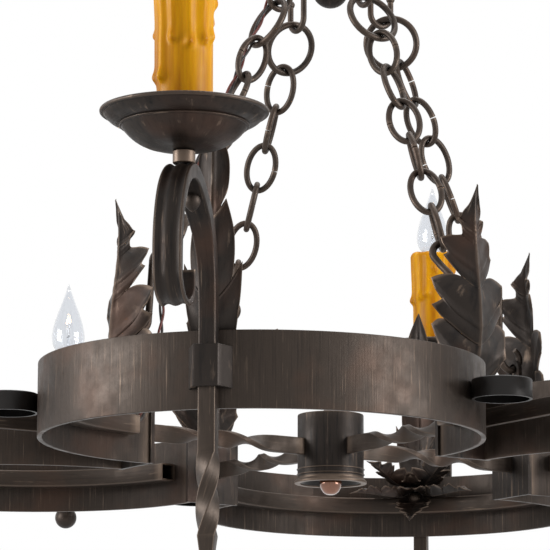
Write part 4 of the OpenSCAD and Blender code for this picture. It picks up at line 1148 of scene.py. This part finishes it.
class CHANDELIER_OT_wires(bpy.types.Operator):
    """Twists the pair of supply wires"""
    bl_idname = "chandelier.wires"
    bl_label = "Supply wires"
    bl_options = {"REGISTER", "UNDO"}

    def execute(self, context):
        make_wires()
        return {"FINISHED"}


class CHANDELIER_OT_rings(bpy.types.Operator):
    """Makes the ring bands and their tubes"""
    bl_idname = "chandelier.rings"
    bl_label = "Rings"
    bl_options = {"REGISTER", "UNDO"}

    def execute(self, context):
        make_rings()
        return {"FINISHED"}


class CHANDELIER_OT_spokes(bpy.types.Operator):
    """Makes the twisted spokes and the ball finials"""
    bl_idname = "chandelier.spokes"
    bl_label = "Spokes"
    bl_options = {"REGISTER", "UNDO"}

    def execute(self, context):
        make_spokes()
        return {"FINISHED"}


class CHANDELIER_OT_arms(bpy.types.Operator):
    """Forges the scroll arms, their clips and their buds"""
    bl_idname = "chandelier.arms"
    bl_label = "Scroll arms"
    bl_options = {"REGISTER", "UNDO"}

    def execute(self, context):
        make_arms()
        return {"FINISHED"}


class CHANDELIER_OT_leaves(bpy.types.Operator):
    """Forges the leaves and the rosettes"""
    bl_idname = "chandelier.leaves"
    bl_label = "Leaves"
    bl_options = {"REGISTER", "UNDO"}

    def execute(self, context):
        make_leaves()
        return {"FINISHED"}


class CHANDELIER_OT_candles(bpy.types.Operator):
    """Makes the dishes, wax sleeves and flame bulbs"""
    bl_idname = "chandelier.candles"
    bl_label = "Candles"
    bl_options = {"REGISTER", "UNDO"}

    def execute(self, context):
        make_candles()
        return {"FINISHED"}


class CHANDELIER_OT_chains(bpy.types.Operator):
    """Bends the links, rings and S hooks"""
    bl_idname = "chandelier.chains"
    bl_label = "Chains"
    bl_options = {"REGISTER", "UNDO"}

    def execute(self, context):
        make_chains()
        return {"FINISHED"}


class CHANDELIER_OT_crown(bpy.types.Operator):
    """Makes the crown, its hooks and the canopy"""
    bl_idname = "chandelier.crown"
    bl_label = "Crown and canopy"
    bl_options = {"REGISTER", "UNDO"}

    def execute(self, context):
        make_crown()
        return {"FINISHED"}


class CHANDELIER_OT_hub(bpy.types.Operator):
    """Makes the downlight and the side cups"""
    bl_idname = "chandelier.hub"
    bl_label = "Hub and side cups"
    bl_options = {"REGISTER", "UNDO"}

    def execute(self, context):
        make_hub()
        return {"FINISHED"}


class CHANDELIER_OT_stage(bpy.types.Operator):
    """Sets the floor, the world and the lamps"""
    bl_idname = "chandelier.stage"
    bl_label = "Stage"
    bl_options = {"REGISTER", "UNDO"}

    def execute(self, context):
        make_stage()
        return {"FINISHED"}


STEPS = [CHANDELIER_OT_camera, CHANDELIER_OT_wires, CHANDELIER_OT_rings,
         CHANDELIER_OT_spokes, CHANDELIER_OT_arms, CHANDELIER_OT_leaves,
         CHANDELIER_OT_candles, CHANDELIER_OT_chains, CHANDELIER_OT_crown,
         CHANDELIER_OT_hub, CHANDELIER_OT_stage]


class CHANDELIER_PT_panel(bpy.types.Panel):
    """Lists the chandelier's pieces"""
    bl_idname = "CHANDELIER_PT_panel"
    bl_label = "Chandelier"
    bl_space_type = "VIEW_3D"
    bl_region_type = "UI"
    bl_category = "Chandelier"

    def draw(self, context):
        for step in STEPS:
            self.layout.operator(step.bl_idname)
        for group in (context.scene.chandelier_sizes, context.scene.chandelier_colours):
            for key in group.__annotations__:
                self.layout.prop(group, key)


CLASSES = [ChandelierSizes, ChandelierColours, *STEPS, CHANDELIER_PT_panel]


def register():
    for cls in CLASSES:
        bpy.utils.register_class(cls)
    bpy.types.Scene.chandelier_sizes = bpy.props.PointerProperty(type=ChandelierSizes)
    bpy.types.Scene.chandelier_colours = bpy.props.PointerProperty(type=ChandelierColours)


def unregister():
    del bpy.types.Scene.chandelier_sizes
    del bpy.types.Scene.chandelier_colours
    for cls in reversed(CLASSES):
        bpy.utils.unregister_class(cls)


def main():
    register()
    for step in STEPS:
        group, name = step.bl_idname.split(".")
        getattr(getattr(bpy.ops, group), name)()


if __name__ == "__main__":
    main()
